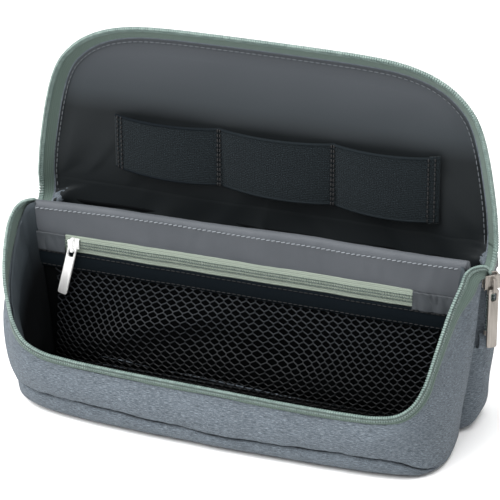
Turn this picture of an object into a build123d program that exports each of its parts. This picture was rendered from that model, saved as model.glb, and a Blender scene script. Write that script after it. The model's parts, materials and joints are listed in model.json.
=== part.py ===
from build123d import *

import math
import os

# Cable organizer pouch, standing open: two soft lobes side by side, a lid that turns back on the rear
# lobe, a U-shaped zipper between lid and front lobe, and a zipped mesh pocket on the divider.
# Millimetres, +X right, +Y back, +Z up. The origin is under the middle of the footprint.

# ---- driving dimensions -------------------------------------------------------------------------
DEPTH = 92.0                 # front of the front lobe to the back of the rear lobe
FRONT_DEPTH = 56.0           # front lobe, measured from the divider
Y0 = FRONT_DEPTH - DEPTH / 2  # the divider's plane

HINGE_Y, HINGE_Z = 18.0, 84.0    # where the lid leaves the rear lobe, behind the divider
FOLD_Z = 91.0                    # the divider's top edge, which the closed lid folds over
RIM_Y, RIM_Z = -51.5, 31.0       # the front rim

LOWER_STRIP = math.hypot(HINGE_Y, FOLD_Z - HINGE_Z)          # lid from hinge to fold
UPPER_PANEL = math.hypot(RIM_Y, FOLD_Z - RIM_Z)              # lid from fold to its far edge
ZIP_LENGTH = LOWER_STRIP + UPPER_PANEL

# half widths of the zipped outline, from the hinge to the shoulder of the rounded corners
OUTLINE_HINGE, OUTLINE_FOLD, OUTLINE_SIDE, OUTLINE_SHOULDER = 119.5, 118.8, 117.2, 111.5
SIDE_S, SHOULDER_S = 32.0, 62.0
CORNER_X, CORNER_S = 97.6, 85.6          # middle of the corner arc
TOP_X = 72.0                         # where the corner runs into the far edge
TOP_DROP = 1.8                       # the far edge falls this much from its middle to its corners

FABRIC, FOAM, LINING = 1.2, 2.0, 0.6  # wall layers
LAYER_GAP = 0.3
SEAM_Z = 8.0                          # height of the base panel's seam
DIVIDER_HALF = 107.5

COIL, COIL_CLEAR = 2.5, 0.35          # half chain's size, and its distance from the mating surface
TAPE, TAPE_STAND = 0.8, 1.5
PANEL_BEHIND = 6.0                    # the lid's lining lies this far behind the mating surface
PANEL_INSET = 4.5

SLIDER_Z = 81.0                       # the main slider's height
PULLER_LENGTH, PULLER_WIDTH, PULLER_THICK = 28.0, 5.0, 1.2
SLIDER_LENGTH, SLIDER_WIDTH, PLATE = 11.0, 7.0, 1.0
SLIDER_GAP = 3.2                      # inside a slider, between its two plates

PARTS = {}


def keep(name, *solids):
    """Files one or more solids under a node's name."""
    PARTS.setdefault(name, []).extend(solids)


def at(x, y, z):
    """A point given from the divider's plane, in the model's frame."""
    return Vector(x, Y0 + y, z)


def mating_plane(start, towards, back_by=0.0):
    """Plane whose local Y runs from start to towards (y, z pairs), with its local Z into the pouch."""
    run = Vector(0, towards[0] - start[0], towards[1] - start[1]).normalized()
    origin = at(0, *start) - run * back_by
    return Plane(origin=origin, x_dir=(1, 0, 0), z_dir=Vector(1, 0, 0).cross(run))


RIM_STRIP = mating_plane((HINGE_Y, HINGE_Z), (0, FOLD_Z))
RIM_PANEL = mating_plane((0, FOLD_Z), (RIM_Y, RIM_Z), back_by=LOWER_STRIP)
LID_OPEN = mating_plane((HINGE_Y, HINGE_Z), (HINGE_Y, HINGE_Z + 1))


def box(x0, x1, y0, y1, z0, z1):
    """A box between two corners, with y from the divider's plane."""
    size = (x1 - x0, y1 - y0, z1 - z0)
    middle = at((x0 + x1) / 2, (y0 + y1) / 2, (z0 + z1) / 2)
    return Pos(*middle) * Box(*size)


# ---- the zipped outline, as a flat pattern: X across, Y along the lid ----------------------------
def outline(inset, start=0.0):
    """Edges of the outline from the start line round to it again, and its half width there."""
    half = (OUTLINE_HINGE if start == 0.0 else OUTLINE_FOLD) - inset
    side, shoulder = OUTLINE_SIDE - inset, OUTLINE_SHOULDER - inset
    corner = (CORNER_X - 0.72 * inset, CORNER_S - 0.69 * inset)
    end = ZIP_LENGTH - inset
    right = [
        ThreePointArc((half, start), (side, SIDE_S), (shoulder, SHOULDER_S)),
        ThreePointArc((shoulder, SHOULDER_S), corner, (TOP_X, end - TOP_DROP)),
    ]
    far = ThreePointArc((TOP_X, end - TOP_DROP), (0, end), (-TOP_X, end - TOP_DROP))
    left = [
        ThreePointArc((-TOP_X, end - TOP_DROP), (-corner[0], corner[1]), (-shoulder, SHOULDER_S)),
        ThreePointArc((-shoulder, SHOULDER_S), (-side, SIDE_S), (-half, start)),
    ]
    return right + [far] + left + [Line((-half, start), (half, start))]


def outline_face(inset):
    return make_face(outline(inset))


def strip_of(face, s0, s1):
    """The part of a flat pattern between two distances from the hinge."""
    wide = 4 * OUTLINE_HINGE
    return face & (Pos(0, (s0 + s1) / 2) * Rectangle(wide, s1 - s0))


def plate(plane, inset, s0, s1, z0, z1):
    """A panel of the flat pattern, placed on a mating plane, from local height z0 to z1."""
    flat = strip_of(outline_face(inset), s0, s1)
    return (plane * (Pos(0, 0, z0) * extrude(flat, z1 - z0))).solids()


def band(plane, outer, inner, s0, s1, z0, z1):
    """A U-shaped band along the pattern's edge, between two insets."""
    ring = outline_face(outer) - outline_face(inner)
    flat = strip_of(ring, s0, s1)
    return (plane * (Pos(0, 0, z0) * extrude(flat, z1 - z0))).solids()


# ---- front lobe ----------------------------------------------------------------------------------
def floor_section(inset, z, half, front, back, radius):
    """Level outline of the front lobe: straight back, rounded front corners."""
    x, f, r = half - inset, front + inset, radius - inset
    cx, cy = x - r, f + r
    lean = r * math.sqrt(0.5)
    edges = [
        Line((x, back), (x, cy)),
        ThreePointArc((x, cy), (cx + lean, cy - lean), (cx, f)),
        ThreePointArc((cx, f), (0, f - 1.0), (-cx, f)),
        ThreePointArc((-cx, f), (-cx - lean, cy - lean), (-x, cy)),
        Line((-x, cy), (-x, back)),
        Line((-x, back), (x, back)),
    ]
    return Plane(at(0, 0, z)) * make_face(edges)


def front_lobe(inset, floor, back=0.0, sunk=COIL_CLEAR + COIL + TAPE_STAND + 0.15):
    """Solid inside of the front lobe at an inset: base, seam level, and the rim just below its zipper."""
    foot = floor_section(inset, floor, 96.0, -47.0, back - 6.0, 24.0)
    seam = floor_section(inset, SEAM_Z + floor * 0.4, 104.5, -55.0, back - 3.0, 32.0)
    rim = RIM_PANEL * (Pos(0, 0, sunk) * make_face(outline(inset + 0.5, LOWER_STRIP)))
    return loft([foot, seam], ruled=True), loft([seam, rim], ruled=True)


def front_layer(outer, inner):
    """A wall layer of the front lobe with no back, above the seam."""
    _, solid = front_lobe(outer, 0.0)
    _, hollow = front_lobe(inner, 0.0, back=8.0)
    return (solid - hollow) & box(-200, 200, -200, -1.9, 0, 200)


def in_three(name, layer, half):
    """Files a wall as its middle and its two ends, cut at plus and minus half."""
    middle = box(-half, half, -100, 100, -1, 200)
    keep(name + "_middle", *(layer & middle).solids())
    ends = layer - middle
    keep(name + "_left", *(ends & box(-200, 0, -100, 100, -1, 200)).solids())
    keep(name + "_right", *(ends & box(0, 200, -100, 100, -1, 200)).solids())


def build_front_lobe():
    in_three("front_wall", front_layer(0.0, FABRIC) & box(-200, 200, -200, 0, SEAM_Z, 200), TOP_X)

    foot, _ = front_lobe(0.0, 0.0)
    foot_hollow, _ = front_lobe(FABRIC, FABRIC)
    base = (foot - foot_hollow) & box(-200, 200, -200, 0, 0, SEAM_Z - LAYER_GAP)
    keep("front_base_panel", *base.solids())

    pad = front_layer(FABRIC + LAYER_GAP, FABRIC + LAYER_GAP + FOAM)
    keep("front_wall_pad", *(pad & box(-200, 200, -200, 0, SEAM_Z + 2, 200)).solids())
    foot_pad = box(-78, 78, -42, -14, FABRIC + LAYER_GAP, FABRIC + LAYER_GAP + FOAM)
    keep("front_base_pad", *foot_pad.solids())

    inset = FABRIC + FOAM + 2 * LAYER_GAP
    lining = front_layer(inset, inset + LINING)
    keep("front_lining", *(lining & box(-200, 200, -200, 0, SEAM_Z + 2, 200)).solids())
    floor_low = FABRIC + FOAM + 2 * LAYER_GAP
    floor = floor_section(9.0, floor_low, 104.5, -55.0, -14.0, 32.0)
    keep("front_floor_lining", *extrude(floor, LINING).solids())


# ---- rear lobe -----------------------------------------------------------------------------------
REAR_LEVELS = [  # height, half width, front, back, corner radius
    (0.0, 102.0, 9.0, 31.0, 9.0),
    (9.0, 114.0, 2.6, 35.5, 13.0),
    (48.0, 119.5, 2.2, 36.0, 14.0),
    (80.5, 118.5, 2.4, 27.5, 9.0),
]


WINDOW_HALF = 104.0     # the rear lobe is open towards the divider between these


def rear_lobe(inset, raise_floor=0.0):
    faces = []
    for i, (z, half, front, back, radius) in enumerate(REAR_LEVELS):
        level = z + (raise_floor if i == 0 else 0.0)
        size = (2 * (half - inset), back - front - 2 * inset)
        flat = RectangleRounded(*size, max(radius - inset, 1.0))
        faces.append(Plane(at(0, (front + back) / 2, level)) * flat)
    return loft(faces, ruled=True)


def rear_layer(outer, inner, low):
    layer = rear_lobe(outer) - rear_lobe(inner, raise_floor=inner)
    window = box(-WINDOW_HALF, WINDOW_HALF, -5, 9, 7, 200)
    top_cut = box(-200, 200, -50, 80, REAR_LEVELS[-1][0] - 0.01, 200)
    below = box(-200, 200, -50, 80, -1, low)
    return layer - window - top_cut - below


def back_zone(depth):
    """Everything less than depth in front of the rear lobe's outer back face."""
    faces = []
    for z, half, _, back, _ in REAR_LEVELS:
        faces.append(Plane(at(0, back - depth + 15.0, z)) * Rectangle(4 * half, 30.0))
    return loft(faces, ruled=True)


def build_rear_lobe():
    outer = rear_layer(0.0, FABRIC, 0.0)
    panel = back_zone(FABRIC)
    keep("back_panel", *(outer & panel).solids())
    in_three("rear_gusset", outer - panel, WINDOW_HALF)
    inset = FABRIC + FOAM + 2 * LAYER_GAP
    pad = rear_layer(FABRIC + LAYER_GAP, FABRIC + LAYER_GAP + FOAM, 12.0)
    keep("back_pad", *(pad & back_zone(inset)).solids())
    keep("rear_lining", *rear_layer(inset, inset + LINING, 5.0).solids())


# ---- divider with its zipped mesh pocket ----------------------------------------------------------
POCKET_X0, POCKET_X1 = -96.5, 82.5      # the pocket zipper, end to end
POCKET_Z = 71.0                         # its chain
POCKET_TAPE_Z = (66.2, 75.8)
MESH_BAND_Z = (56.7, 66.0)
MESH_FOOT_Z = 9.0
FACE_Y = -1.6                           # the divider's front face
POCKET_BULGE = 12.0
MESH_HALF, MESH_THICK = 96.0, 1.0


def build_divider():
    foot, foot_half, shoulder = 5.0, 99.0, 45.0
    for name, face_y, thick, top in (
        ("divider_board", 1.4, 1.2, POCKET_TAPE_Z[1]),
        ("divider_lining", 0.1, 0.6, POCKET_TAPE_Z[1]),
    ):
        right = [(foot_half, foot), (DIVIDER_HALF, shoulder), (DIVIDER_HALF, top)]
        left = [(-x, z) for x, z in reversed(right)]
        upright = Plane(origin=at(0, face_y, 0), x_dir=(1, 0, 0), z_dir=(0, -1, 0))
        keep(name, *extrude(upright * make_face(Polyline(*right, *left, close=True)), thick).solids())
    top_band = box(-DIVIDER_HALF, DIVIDER_HALF, FACE_Y, 2.0, POCKET_TAPE_Z[1] + 0.1, FOLD_Z - 0.5)
    keep("divider_top_band", *top_band.solids())

    low, high = POCKET_TAPE_Z
    gap = 1.7      # half the slot between the two tapes, where the chain lies
    keep("pocket_tape_upper", *box(POCKET_X0, POCKET_X1, FACE_Y, -0.9, POCKET_Z + gap, high).solids())
    keep("pocket_tape_lower", *box(POCKET_X0, POCKET_X1, FACE_Y, -0.9, low, POCKET_Z - gap).solids())
    coil = box(POCKET_X0 + 1, POCKET_X1 - 1, FACE_Y - 0.5, -0.6, POCKET_Z - 1.1, POCKET_Z + 1.1)
    keep("pocket_coil", *coil.solids())
    tab_y = (FACE_Y - 0.2, -0.6)
    keep("pocket_end_tabs", *box(-DIVIDER_HALF, POCKET_X0 - 0.1, *tab_y, low, high).solids())
    keep("pocket_end_tabs", *box(POCKET_X1 + 0.1, DIVIDER_HALF - 6, *tab_y, low, high).solids())
    keep("mesh_band", *box(-DIVIDER_HALF, DIVIDER_HALF - 4, FACE_Y - 0.3, -0.6, *MESH_BAND_Z).solids())

    keep("mesh_pocket", *mesh_pocket())


def mesh_pocket():
    """A thin bulging sheet in front of the divider: flat at the top, out in the belly, back at the foot."""
    top, foot = MESH_BAND_Z[0] - 0.1, MESH_FOOT_Z
    outside = [(-1.0, top), (-2.4, 44.0), (-POCKET_BULGE, 24.0), (-POCKET_BULGE * 0.75, foot)]
    solids = []
    for shift, side in ((0.0, 0.0), (MESH_THICK, MESH_THICK)):
        line = [at(0, y + shift, z) for y, z in outside]
        profile = make_face(Polyline(*line, at(0, 8, foot), at(0, 8, top), close=True))
        solids.append(extrude(profile, MESH_HALF - side, dir=(1, 0, 0), both=True))
    sheet = (solids[0] - solids[1]) & box(-200, 200, -100, -0.7, foot, top)
    return sheet.solids()


# ---- the main zipper -------------------------------------------------------------------------------
STRIP_START = 17.2      # the rim's chain begins this far from the hinge, above the slider
COIL_LOW = COIL_CLEAR + COIL
RIM_COIL_INSETS = (0.4, 2.9)
TAPE_INSETS = (1.2, 1.2 + TAPE)


def mitre():
    """The bisecting plane of the folded rim at the fold line, as a big box on its front side."""
    e1 = Vector(0, -HINGE_Y, FOLD_Z - HINGE_Z).normalized()
    e2 = Vector(0, RIM_Y, RIM_Z - FOLD_Z).normalized()
    along = (e1 + e2).normalized()
    plane = Plane(origin=at(0, 0, FOLD_Z), x_dir=(1, 0, 0), z_dir=along)
    return plane * Pos(0, 0, 50) * Box(400, 100, 100)


def build_rim_zipper():
    front_side = mitre()
    for name, insets, heights in (
        ("rim_coil", RIM_COIL_INSETS, (COIL_CLEAR, COIL_LOW)),
        ("rim_tape", TAPE_INSETS, (COIL_LOW + 0.05, COIL_LOW + TAPE_STAND)),
    ):
        strip = band(RIM_STRIP, *insets, STRIP_START, LOWER_STRIP, *heights)
        panel = band(RIM_PANEL, *insets, LOWER_STRIP, ZIP_LENGTH + 1, *heights)
        upper = [s - front_side for s in strip]
        lower = [s & front_side for s in panel]
        fused = lower[0].fuse(*upper, *lower[1:])
        keep(name, *fused.solids())


TAIL_X, TAIL_Y = 120.6, 4.4             # the closed end of the chain, upright on the right-hand side
TAIL_FACE_DEG = 40.0                    # which way it faces, from front to right
TAIL_Z = (58.0, 85.0)
TAIL_COIL = (0.85, 1.75)                # each half of its coil, across from the middle
TAIL_TAPE = (1.8, 6.2)
TAB_HEIGHT = 8.0


def tail_plane(z):
    """Local X across the tape, local Y up the chain, local Z outwards from the pouch."""
    a = math.radians(TAIL_FACE_DEG)
    across = Vector(math.cos(a), math.sin(a), 0)
    return Plane(origin=at(TAIL_X, TAIL_Y, z), x_dir=across, z_dir=(math.sin(a), -math.cos(a), 0))


def build_tail():
    low, high = TAIL_Z
    long = high - low
    middle = tail_plane((low + high) / 2)
    for name, (inner, outer), thick in (("tail_coil", TAIL_COIL, 1.6), ("tail_tape", TAIL_TAPE, 0.6)):
        for side in (-1, 1):
            strip = Pos(side * (inner + outer) / 2, 0, 0) * Box(outer - inner, long, thick)
            keep(name, *(middle * strip).solids())
    keep("bottom_stop", *(tail_plane(low - 1.3) * Box(4.6, 2.4, 2.2)).solids())
    tab = tail_plane(low - 2.6 - TAB_HEIGHT / 2) * Pos(0, 0, -1.6) * Box(2 * TAIL_TAPE[1], TAB_HEIGHT, 3.6)
    keep("tail_tab", *(tab - rear_lobe(-0.1)).solids())


# ---- sliders and pullers ----------------------------------------------------------------------------
CROWN_Z = SLIDER_GAP / 2 + PLATE       # a slider's outer face, from its chain
CROWN_LENGTH, CROWN_HOLE = 6.6, 4.6
BAR_DOWN = 1.2                         # the puller's bar sits this far below the crown's middle
BAR_OUT = CROWN_Z + 0.9
EYE = (3.0, 4.6)
POCKET_SLIDER_X = -91.0


def slider_body(plane, crown_plane, inner_plate=True):
    """Slider in a plane whose Y is the chain's way and whose Z is outwards: plates, rails, post, crown."""
    half_gap = SLIDER_GAP / 2
    levels = (1, -1) if inner_plate else (1,)
    body = crown_plane * Pos(0, 0, CROWN_Z + 1.35) * Box(1.4, CROWN_LENGTH, 2.9)
    body -= crown_plane * Pos(0, 0, CROWN_Z + 0.9) * Box(3.0, CROWN_HOLE, 2.2)
    for level in levels:
        flat = Pos(0, 0, level * (half_gap + PLATE / 2)) * Box(SLIDER_WIDTH, SLIDER_LENGTH, PLATE)
        body += plane * flat
        for side in (-1, 1):
            rail_place = Pos(side * (SLIDER_WIDTH / 2 - 0.4), 0, level * (half_gap - 0.45))
            body += plane * rail_place * Box(0.8, SLIDER_LENGTH, 1.0)
    if inner_plate:
        body += plane * Pos(0, SLIDER_LENGTH / 2 - 0.6, 0) * Box(0.9, 1.2, SLIDER_GAP + 0.4)
    return body.solids()


def puller(crown_plane):
    """Flat tab hanging down local -Y from the round bar of its eye, which goes through the crown."""
    radius = PULLER_THICK / 2
    low = radius - PULLER_LENGTH
    tab = Pos(0, low / 2, 0) * Box(PULLER_WIDTH, -low, PULLER_THICK)
    tab -= Pos(0, -EYE[1] / 2, 0) * Box(EYE[0], EYE[1], 3 * PULLER_THICK)
    tab += Rot(0, 90, 0) * Cylinder(radius, PULLER_WIDTH)
    return (crown_plane * Pos(0, -BAR_DOWN, BAR_OUT) * tab).solids()


def build_sliders():
    chain = tail_plane(SLIDER_Z)
    keep("main_slider", *slider_body(chain, chain))
    keep("main_puller", *puller(chain))
    middle = at(POCKET_SLIDER_X, FACE_Y + 0.3, POCKET_Z)
    chain = Plane(origin=middle, x_dir=(0, 0, -1), z_dir=(0, -1, 0))
    upright = Plane(origin=middle, x_dir=(1, 0, 0), z_dir=(0, -1, 0))
    keep("pocket_slider", *slider_body(chain, upright, inner_plate=False))
    keep("pocket_puller", *puller(upright))


# ---- the lid ------------------------------------------------------------------------------------------
STRAP_X = (-77.5, -22.5, 36.0, 88.5)     # the strap's ends and its two dividing seams
STRAP_S = (22.0, 49.0)
STRAP_THICK = 0.7
LOOP_RISE = 5.0


def lid_layers(prefix, s0, s1):
    lining = -PANEL_BEHIND
    pad = lining - LINING - LAYER_GAP
    shell = pad - FOAM - LAYER_GAP
    keep(prefix + "_lining", *plate(LID_OPEN, PANEL_INSET, s0, s1, lining - LINING, lining))
    keep(prefix + "_pad", *plate(LID_OPEN, PANEL_INSET, s0, s1, pad - FOAM, pad))
    keep(prefix + "_shell", *plate(LID_OPEN, PANEL_INSET, s0, s1, shell - FABRIC, shell))


def lid_zipper(prefix, s0, s1):
    coil = band(LID_OPEN, *RIM_COIL_INSETS, s0, s1, -COIL_LOW, -COIL_CLEAR)
    keep(prefix + "_coil", *coil)
    tape = band(LID_OPEN, TAPE_INSETS[0], PANEL_INSET - 0.1, s0, s1, -PANEL_BEHIND, -COIL_LOW - 0.05)
    keep(prefix + "_tape", *tape)


def strap():
    """Elastic strap sewn down at four lines, with three loops standing off the lining."""
    lift = -PANEL_BEHIND + 0.1
    points, inner = [], []
    for a, b in zip(STRAP_X, STRAP_X[1:]):
        land = 1.5
        points += [(a, STRAP_THICK), (a + land, STRAP_THICK), (a + 9, LOOP_RISE + STRAP_THICK)]
        points += [(b - 9, LOOP_RISE + STRAP_THICK), (b - land, STRAP_THICK)]
        inner.append([(a + land, 0), (a + 9, LOOP_RISE), (b - 9, LOOP_RISE), (b - land, 0)])
    points += [(STRAP_X[-1], STRAP_THICK), (STRAP_X[-1], 0), (STRAP_X[0], 0)]
    profile = make_face(Polyline(*points, close=True))
    for loop in inner:
        profile -= make_face(Polyline(*loop, close=True))
    low, high = STRAP_S
    section = Plane(origin=LID_OPEN.origin + LID_OPEN.y_dir * low + LID_OPEN.z_dir * lift,
                    x_dir=(1, 0, 0), z_dir=-LID_OPEN.y_dir)
    return extrude(section * profile, -(high - low)).solids()


def build_lid():
    lid_layers("lid_fold", 1.4, LOWER_STRIP - 0.2)
    lid_zipper("lid_fold", 1.4, LOWER_STRIP - 0.2)
    lid_layers("lid", LOWER_STRIP + 0.2, ZIP_LENGTH + 1)
    lid_zipper("lid", LOWER_STRIP + 0.2, ZIP_LENGTH + 1)
    keep("elastic_strap", *strap())


def main():
    build_front_lobe()
    build_rear_lobe()
    build_divider()
    build_rim_zipper()
    build_tail()
    build_sliders()
    build_lid()
    os.makedirs("parts", exist_ok=True)
    for name, solids in PARTS.items():
        shape = solids[0] if len(solids) == 1 else Compound(children=solids)
        export_step(shape, f"parts/{name}.step")


main()
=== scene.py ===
import json
import math

import bmesh
import bpy
import numpy as np
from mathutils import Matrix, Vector, noise


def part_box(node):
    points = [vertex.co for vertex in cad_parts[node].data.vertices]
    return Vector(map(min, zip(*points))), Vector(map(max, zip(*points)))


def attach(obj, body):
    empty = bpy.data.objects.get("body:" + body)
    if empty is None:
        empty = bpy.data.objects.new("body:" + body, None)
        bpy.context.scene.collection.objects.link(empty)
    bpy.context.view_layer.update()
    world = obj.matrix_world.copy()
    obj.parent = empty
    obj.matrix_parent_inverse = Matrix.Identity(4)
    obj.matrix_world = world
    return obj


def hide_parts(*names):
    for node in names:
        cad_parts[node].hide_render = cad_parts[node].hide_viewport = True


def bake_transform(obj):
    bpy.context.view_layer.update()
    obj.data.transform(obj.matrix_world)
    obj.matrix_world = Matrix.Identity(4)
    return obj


# A cable organizer pouch, standing open. Lengths are millimetres until a mesh is made: X right, Y back
# from the divider's plane, Z up from the floor.

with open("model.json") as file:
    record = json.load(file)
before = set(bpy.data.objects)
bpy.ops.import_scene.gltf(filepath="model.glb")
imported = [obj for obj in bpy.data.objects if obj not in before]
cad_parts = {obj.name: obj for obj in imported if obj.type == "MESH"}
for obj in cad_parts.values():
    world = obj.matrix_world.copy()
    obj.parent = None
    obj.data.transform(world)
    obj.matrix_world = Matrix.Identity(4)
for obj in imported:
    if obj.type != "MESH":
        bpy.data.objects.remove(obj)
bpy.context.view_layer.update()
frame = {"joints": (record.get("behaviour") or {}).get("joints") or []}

MM = 0.001
JOINTS = {joint["name"]: joint for joint in frame["joints"]}
DIVIDER_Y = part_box("divider_lining")[1].y / MM - 0.1


def place_of(point):
    """A point of the frame, in metres, as millimetres from the divider's plane."""
    return np.array(point, float) / MM - [0, DIVIDER_Y, 0]


HINGE = place_of(JOINTS["lid_hinge"]["pos_m"])
MAIN_PIVOT = place_of(JOINTS["main_puller_swing"]["pos_m"])
POCKET_PIVOT = place_of(JOINTS["pocket_puller_swing"]["pos_m"])
MAIN_ACROSS = -np.array(JOINTS["main_puller_swing"]["axis"], float)
LID_TOP = place_of(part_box("lid_coil")[1])[2]
RIM_FRONT = place_of(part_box("rim_coil")[0])
DIVIDER_HALF = place_of(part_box("divider_top_band")[1])[0]
FOLD_TOP = place_of(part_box("divider_top_band")[1])[2] + 1.5
BAND_LOW = place_of(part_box("divider_top_band")[0])[2]
DIVIDER_LEFT = DIVIDER_HALF + 4.6       # the cloth reaches further to the left, as far as the side's lining
TAPE_LOW = place_of(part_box("pocket_tape_lower")[0])
TAPE_HIGH = place_of(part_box("pocket_tape_upper")[1])
POCKET_Z = (TAPE_LOW[2] + TAPE_HIGH[2]) / 2
MESH_TOP = place_of(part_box("mesh_pocket")[1])[2]
FACE_Y = TAPE_LOW[1]
RIM_FOOT = np.array([RIM_FRONT[1] - 0.6, RIM_FRONT[2] + 1.0])       # (y, z) of the rim's plane in front
RIM_RUN = (RIM_FOOT - [0, FOLD_TOP]) / np.linalg.norm(RIM_FOOT - [0, FOLD_TOP])


FORWARD = (0, -1.0, 0)


# ---- lines, surfaces and meshes ---------------------------------------------------------------------
def smooth(points, count):
    """A smooth line through the points, as count points evenly spaced by their first three columns."""
    p = np.asarray(points, float)
    step = np.maximum(np.linalg.norm(np.diff(p[:, :3], axis=0), axis=1), 1e-6) ** 0.5
    knot = np.concatenate([[0.0], np.cumsum(step)])
    slope = np.diff(p, axis=0) / step[:, None]
    before, after = step[:-1, None], step[1:, None]
    lean = (slope[:-1] * after + slope[1:] * before) / (before + after)
    tangent = np.vstack([slope[:1], lean, slope[-1:]])
    fine = np.linspace(0, knot[-1], 24 * len(p))
    i = np.clip(np.searchsorted(knot, fine, "right") - 1, 0, len(p) - 2)
    h = step[i][:, None]
    u = (fine - knot[i])[:, None] / h
    line = (2 * u**3 - 3 * u**2 + 1) * p[i] + (u**3 - 2 * u**2 + u) * h * tangent[i]
    line += (3 * u**2 - 2 * u**3) * p[i + 1] + (u**3 - u**2) * h * tangent[i + 1]
    return evenly(line, count)


def lengths_along(line):
    """How far along the line each of its points is."""
    return np.concatenate([[0.0], np.cumsum(np.linalg.norm(np.diff(line[:, :3], axis=0), axis=1))])


def evenly(line, count):
    """The same line as count points at equal steps."""
    run = lengths_along(line)
    at = np.linspace(0, run[-1], count)
    return np.stack([np.interp(at, run, column) for column in line.T], axis=1)


def unit(vectors):
    """The vectors at length 1."""
    return vectors / np.maximum(np.linalg.norm(vectors, axis=-1, keepdims=True), 1e-9)


def tangents(line):
    """The direction of the line at each of its points."""
    return unit(np.gradient(line, axis=0))


def mirrored(points):
    """The points of the right half, in reverse, on the left."""
    flipped = np.array(points, float)[::-1]
    flipped[:, 0::3] *= -1
    return flipped


def wave(points, size, seed, strength=1.0):
    """Soft noise between -strength and strength for each point."""
    flat = np.asarray(points, float).reshape(-1, 3)
    found = [noise.noise(Vector(p) / size + Vector((seed * 7.3, seed * 3.1, seed * 5.7))) for p in flat]
    return strength * np.array(found).reshape(np.asarray(points).shape[:-1])


def normals_of(rows):
    """The normal of a grid of points at each of them."""
    across = np.gradient(rows, axis=1)
    down = np.gradient(rows, axis=0)
    return unit(np.cross(across, down))


def bump_rows(rows, size, amount, seed):
    """Moves a surface in and out along its normals by soft noise."""
    return rows + normals_of(rows) * wave(rows, size, seed, amount)[..., None]


def mesh_object(name, verts, faces, material, uvs=None):
    """A smooth-shaded mesh from millimetre vertices."""
    mesh = bpy.data.meshes.new(name)
    mesh.from_pydata([Vector(v) for v in (np.asarray(verts, float) + [0, DIVIDER_Y, 0]) * MM], [], faces)
    mesh.validate()
    if uvs is not None:
        layer = mesh.uv_layers.new(name="UVMap")
        at = np.zeros(len(mesh.loops), int)
        mesh.loops.foreach_get("vertex_index", at)
        layer.data.foreach_set("uv", np.asarray(uvs, float)[at].ravel())
    mesh.polygons.foreach_set("use_smooth", [True] * len(mesh.polygons))
    mesh.materials.append(material)
    piece = bpy.data.objects.new(name, mesh)
    bpy.context.scene.collection.objects.link(piece)
    return piece


def baked(piece):
    """Applies the piece's modifiers to its mesh."""
    evaluated = piece.evaluated_get(bpy.context.evaluated_depsgraph_get())
    mesh = bpy.data.meshes.new_from_object(evaluated)
    old = piece.data
    piece.modifiers.clear()
    piece.data = mesh
    bpy.data.meshes.remove(old)
    return piece


def fabric_uvs(rows, start):
    """Texture places, where 1 is 100 mm of cloth each way. The first row is at start."""
    middle = rows[len(rows) // 2]
    u = np.tile(lengths_along(middle), (len(rows), 1))
    v = np.stack([lengths_along(rows[:, j]) for j in range(rows.shape[1])], axis=1)
    return np.stack([u, v + start], axis=-1).reshape(-1, 2) / 100.0


def cloth(name, rows, material, thick=1.0, offset=-1.0, closed=False, start=0.0):
    """A sheet of cloth over a grid of points, with thickness. Closed joins its first and last columns."""
    rows = np.asarray(rows, float)
    r, c = rows.shape[:2]
    uvs = fabric_uvs(rows, start)
    faces = []
    for i in range(r - 1):
        for j in range(c if closed else c - 1):
            k = (j + 1) % c
            faces.append((i * c + j, i * c + k, (i + 1) * c + k, (i + 1) * c + j))
    piece = mesh_object(name, rows.reshape(-1, 3), faces, material, uvs)
    if thick:
        solid = piece.modifiers.new("thick", "SOLIDIFY")
        solid.thickness = thick * MM
        solid.offset = offset
    return baked(piece)


def scatter(name, template, origins, axes, sizes, material):
    """Copies of a small template (vertices, faces), turned to axes (n, 3 rows, 3) and scaled by sizes."""
    verts, faces = template
    origins, axes = np.asarray(origins, float), np.asarray(axes, float)
    sizes = np.broadcast_to(np.asarray(sizes, float), (len(origins), 3))
    local = verts[None] * sizes[:, None]
    world = origins[:, None] + np.einsum("nvi,nij->nvj", local, axes)
    count = len(verts)
    allfaces = [tuple(f + n * count for f in face) for n in range(len(origins)) for face in faces]
    return mesh_object(name, world.reshape(-1, 3), allfaces, material)


def block(size, centre=(0, 0, 0), bevel=0.3, segments=3):
    """A box with truly round edges, as a template in millimetres."""
    work = bmesh.new()
    bmesh.ops.create_cube(work, size=1.0)
    for vert in work.verts:
        vert.co = Vector(vert.co[i] * size[i] + centre[i] for i in range(3))
    bmesh.ops.bevel(work, geom=work.edges[:], offset=bevel, segments=segments, profile=0.6,
                    affect="EDGES")
    verts = np.array([v.co for v in work.verts])
    faces = [tuple(v.index for v in f.verts) for f in work.faces]
    work.free()
    return verts, faces


BEAD = block((1, 1, 1), segments=2)


def frames_along(line, up):
    """Rows of (tangent, across, up) for each point of a line."""
    t = tangents(line)
    up = np.broadcast_to(np.asarray(up, float), line.shape)
    across = unit(np.cross(up, t))
    return np.stack([t, across, np.cross(t, across)], axis=1)


STITCH_RISE = 0.2       # how far the middle of a thread lies over the cloth


def stitches(name, line, up, material, pitch, length, width, slant=0.0):
    """A row of thread stitches that lie on a surface whose normal is up, one for all or one a point."""
    line = np.asarray(line, float)
    wide = np.hstack([line, np.broadcast_to(np.asarray(up, float), line.shape)])
    spots = evenly(wide, max(3, int(lengths_along(line)[-1] / pitch)))
    spots, up = spots[:, :3], unit(spots[:, 3:])
    axes = frames_along(spots, up)
    turn = math.radians(slant)
    along = axes[:, 0] * math.cos(turn) + axes[:, 1] * math.sin(turn)
    axes = np.stack([along, np.cross(axes[:, 2], along), axes[:, 2]], axis=1)
    return scatter(name, BEAD, spots + axes[:, 2] * STITCH_RISE, axes, (length, width, width), material)


TUBE_SIDES = 8


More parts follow.
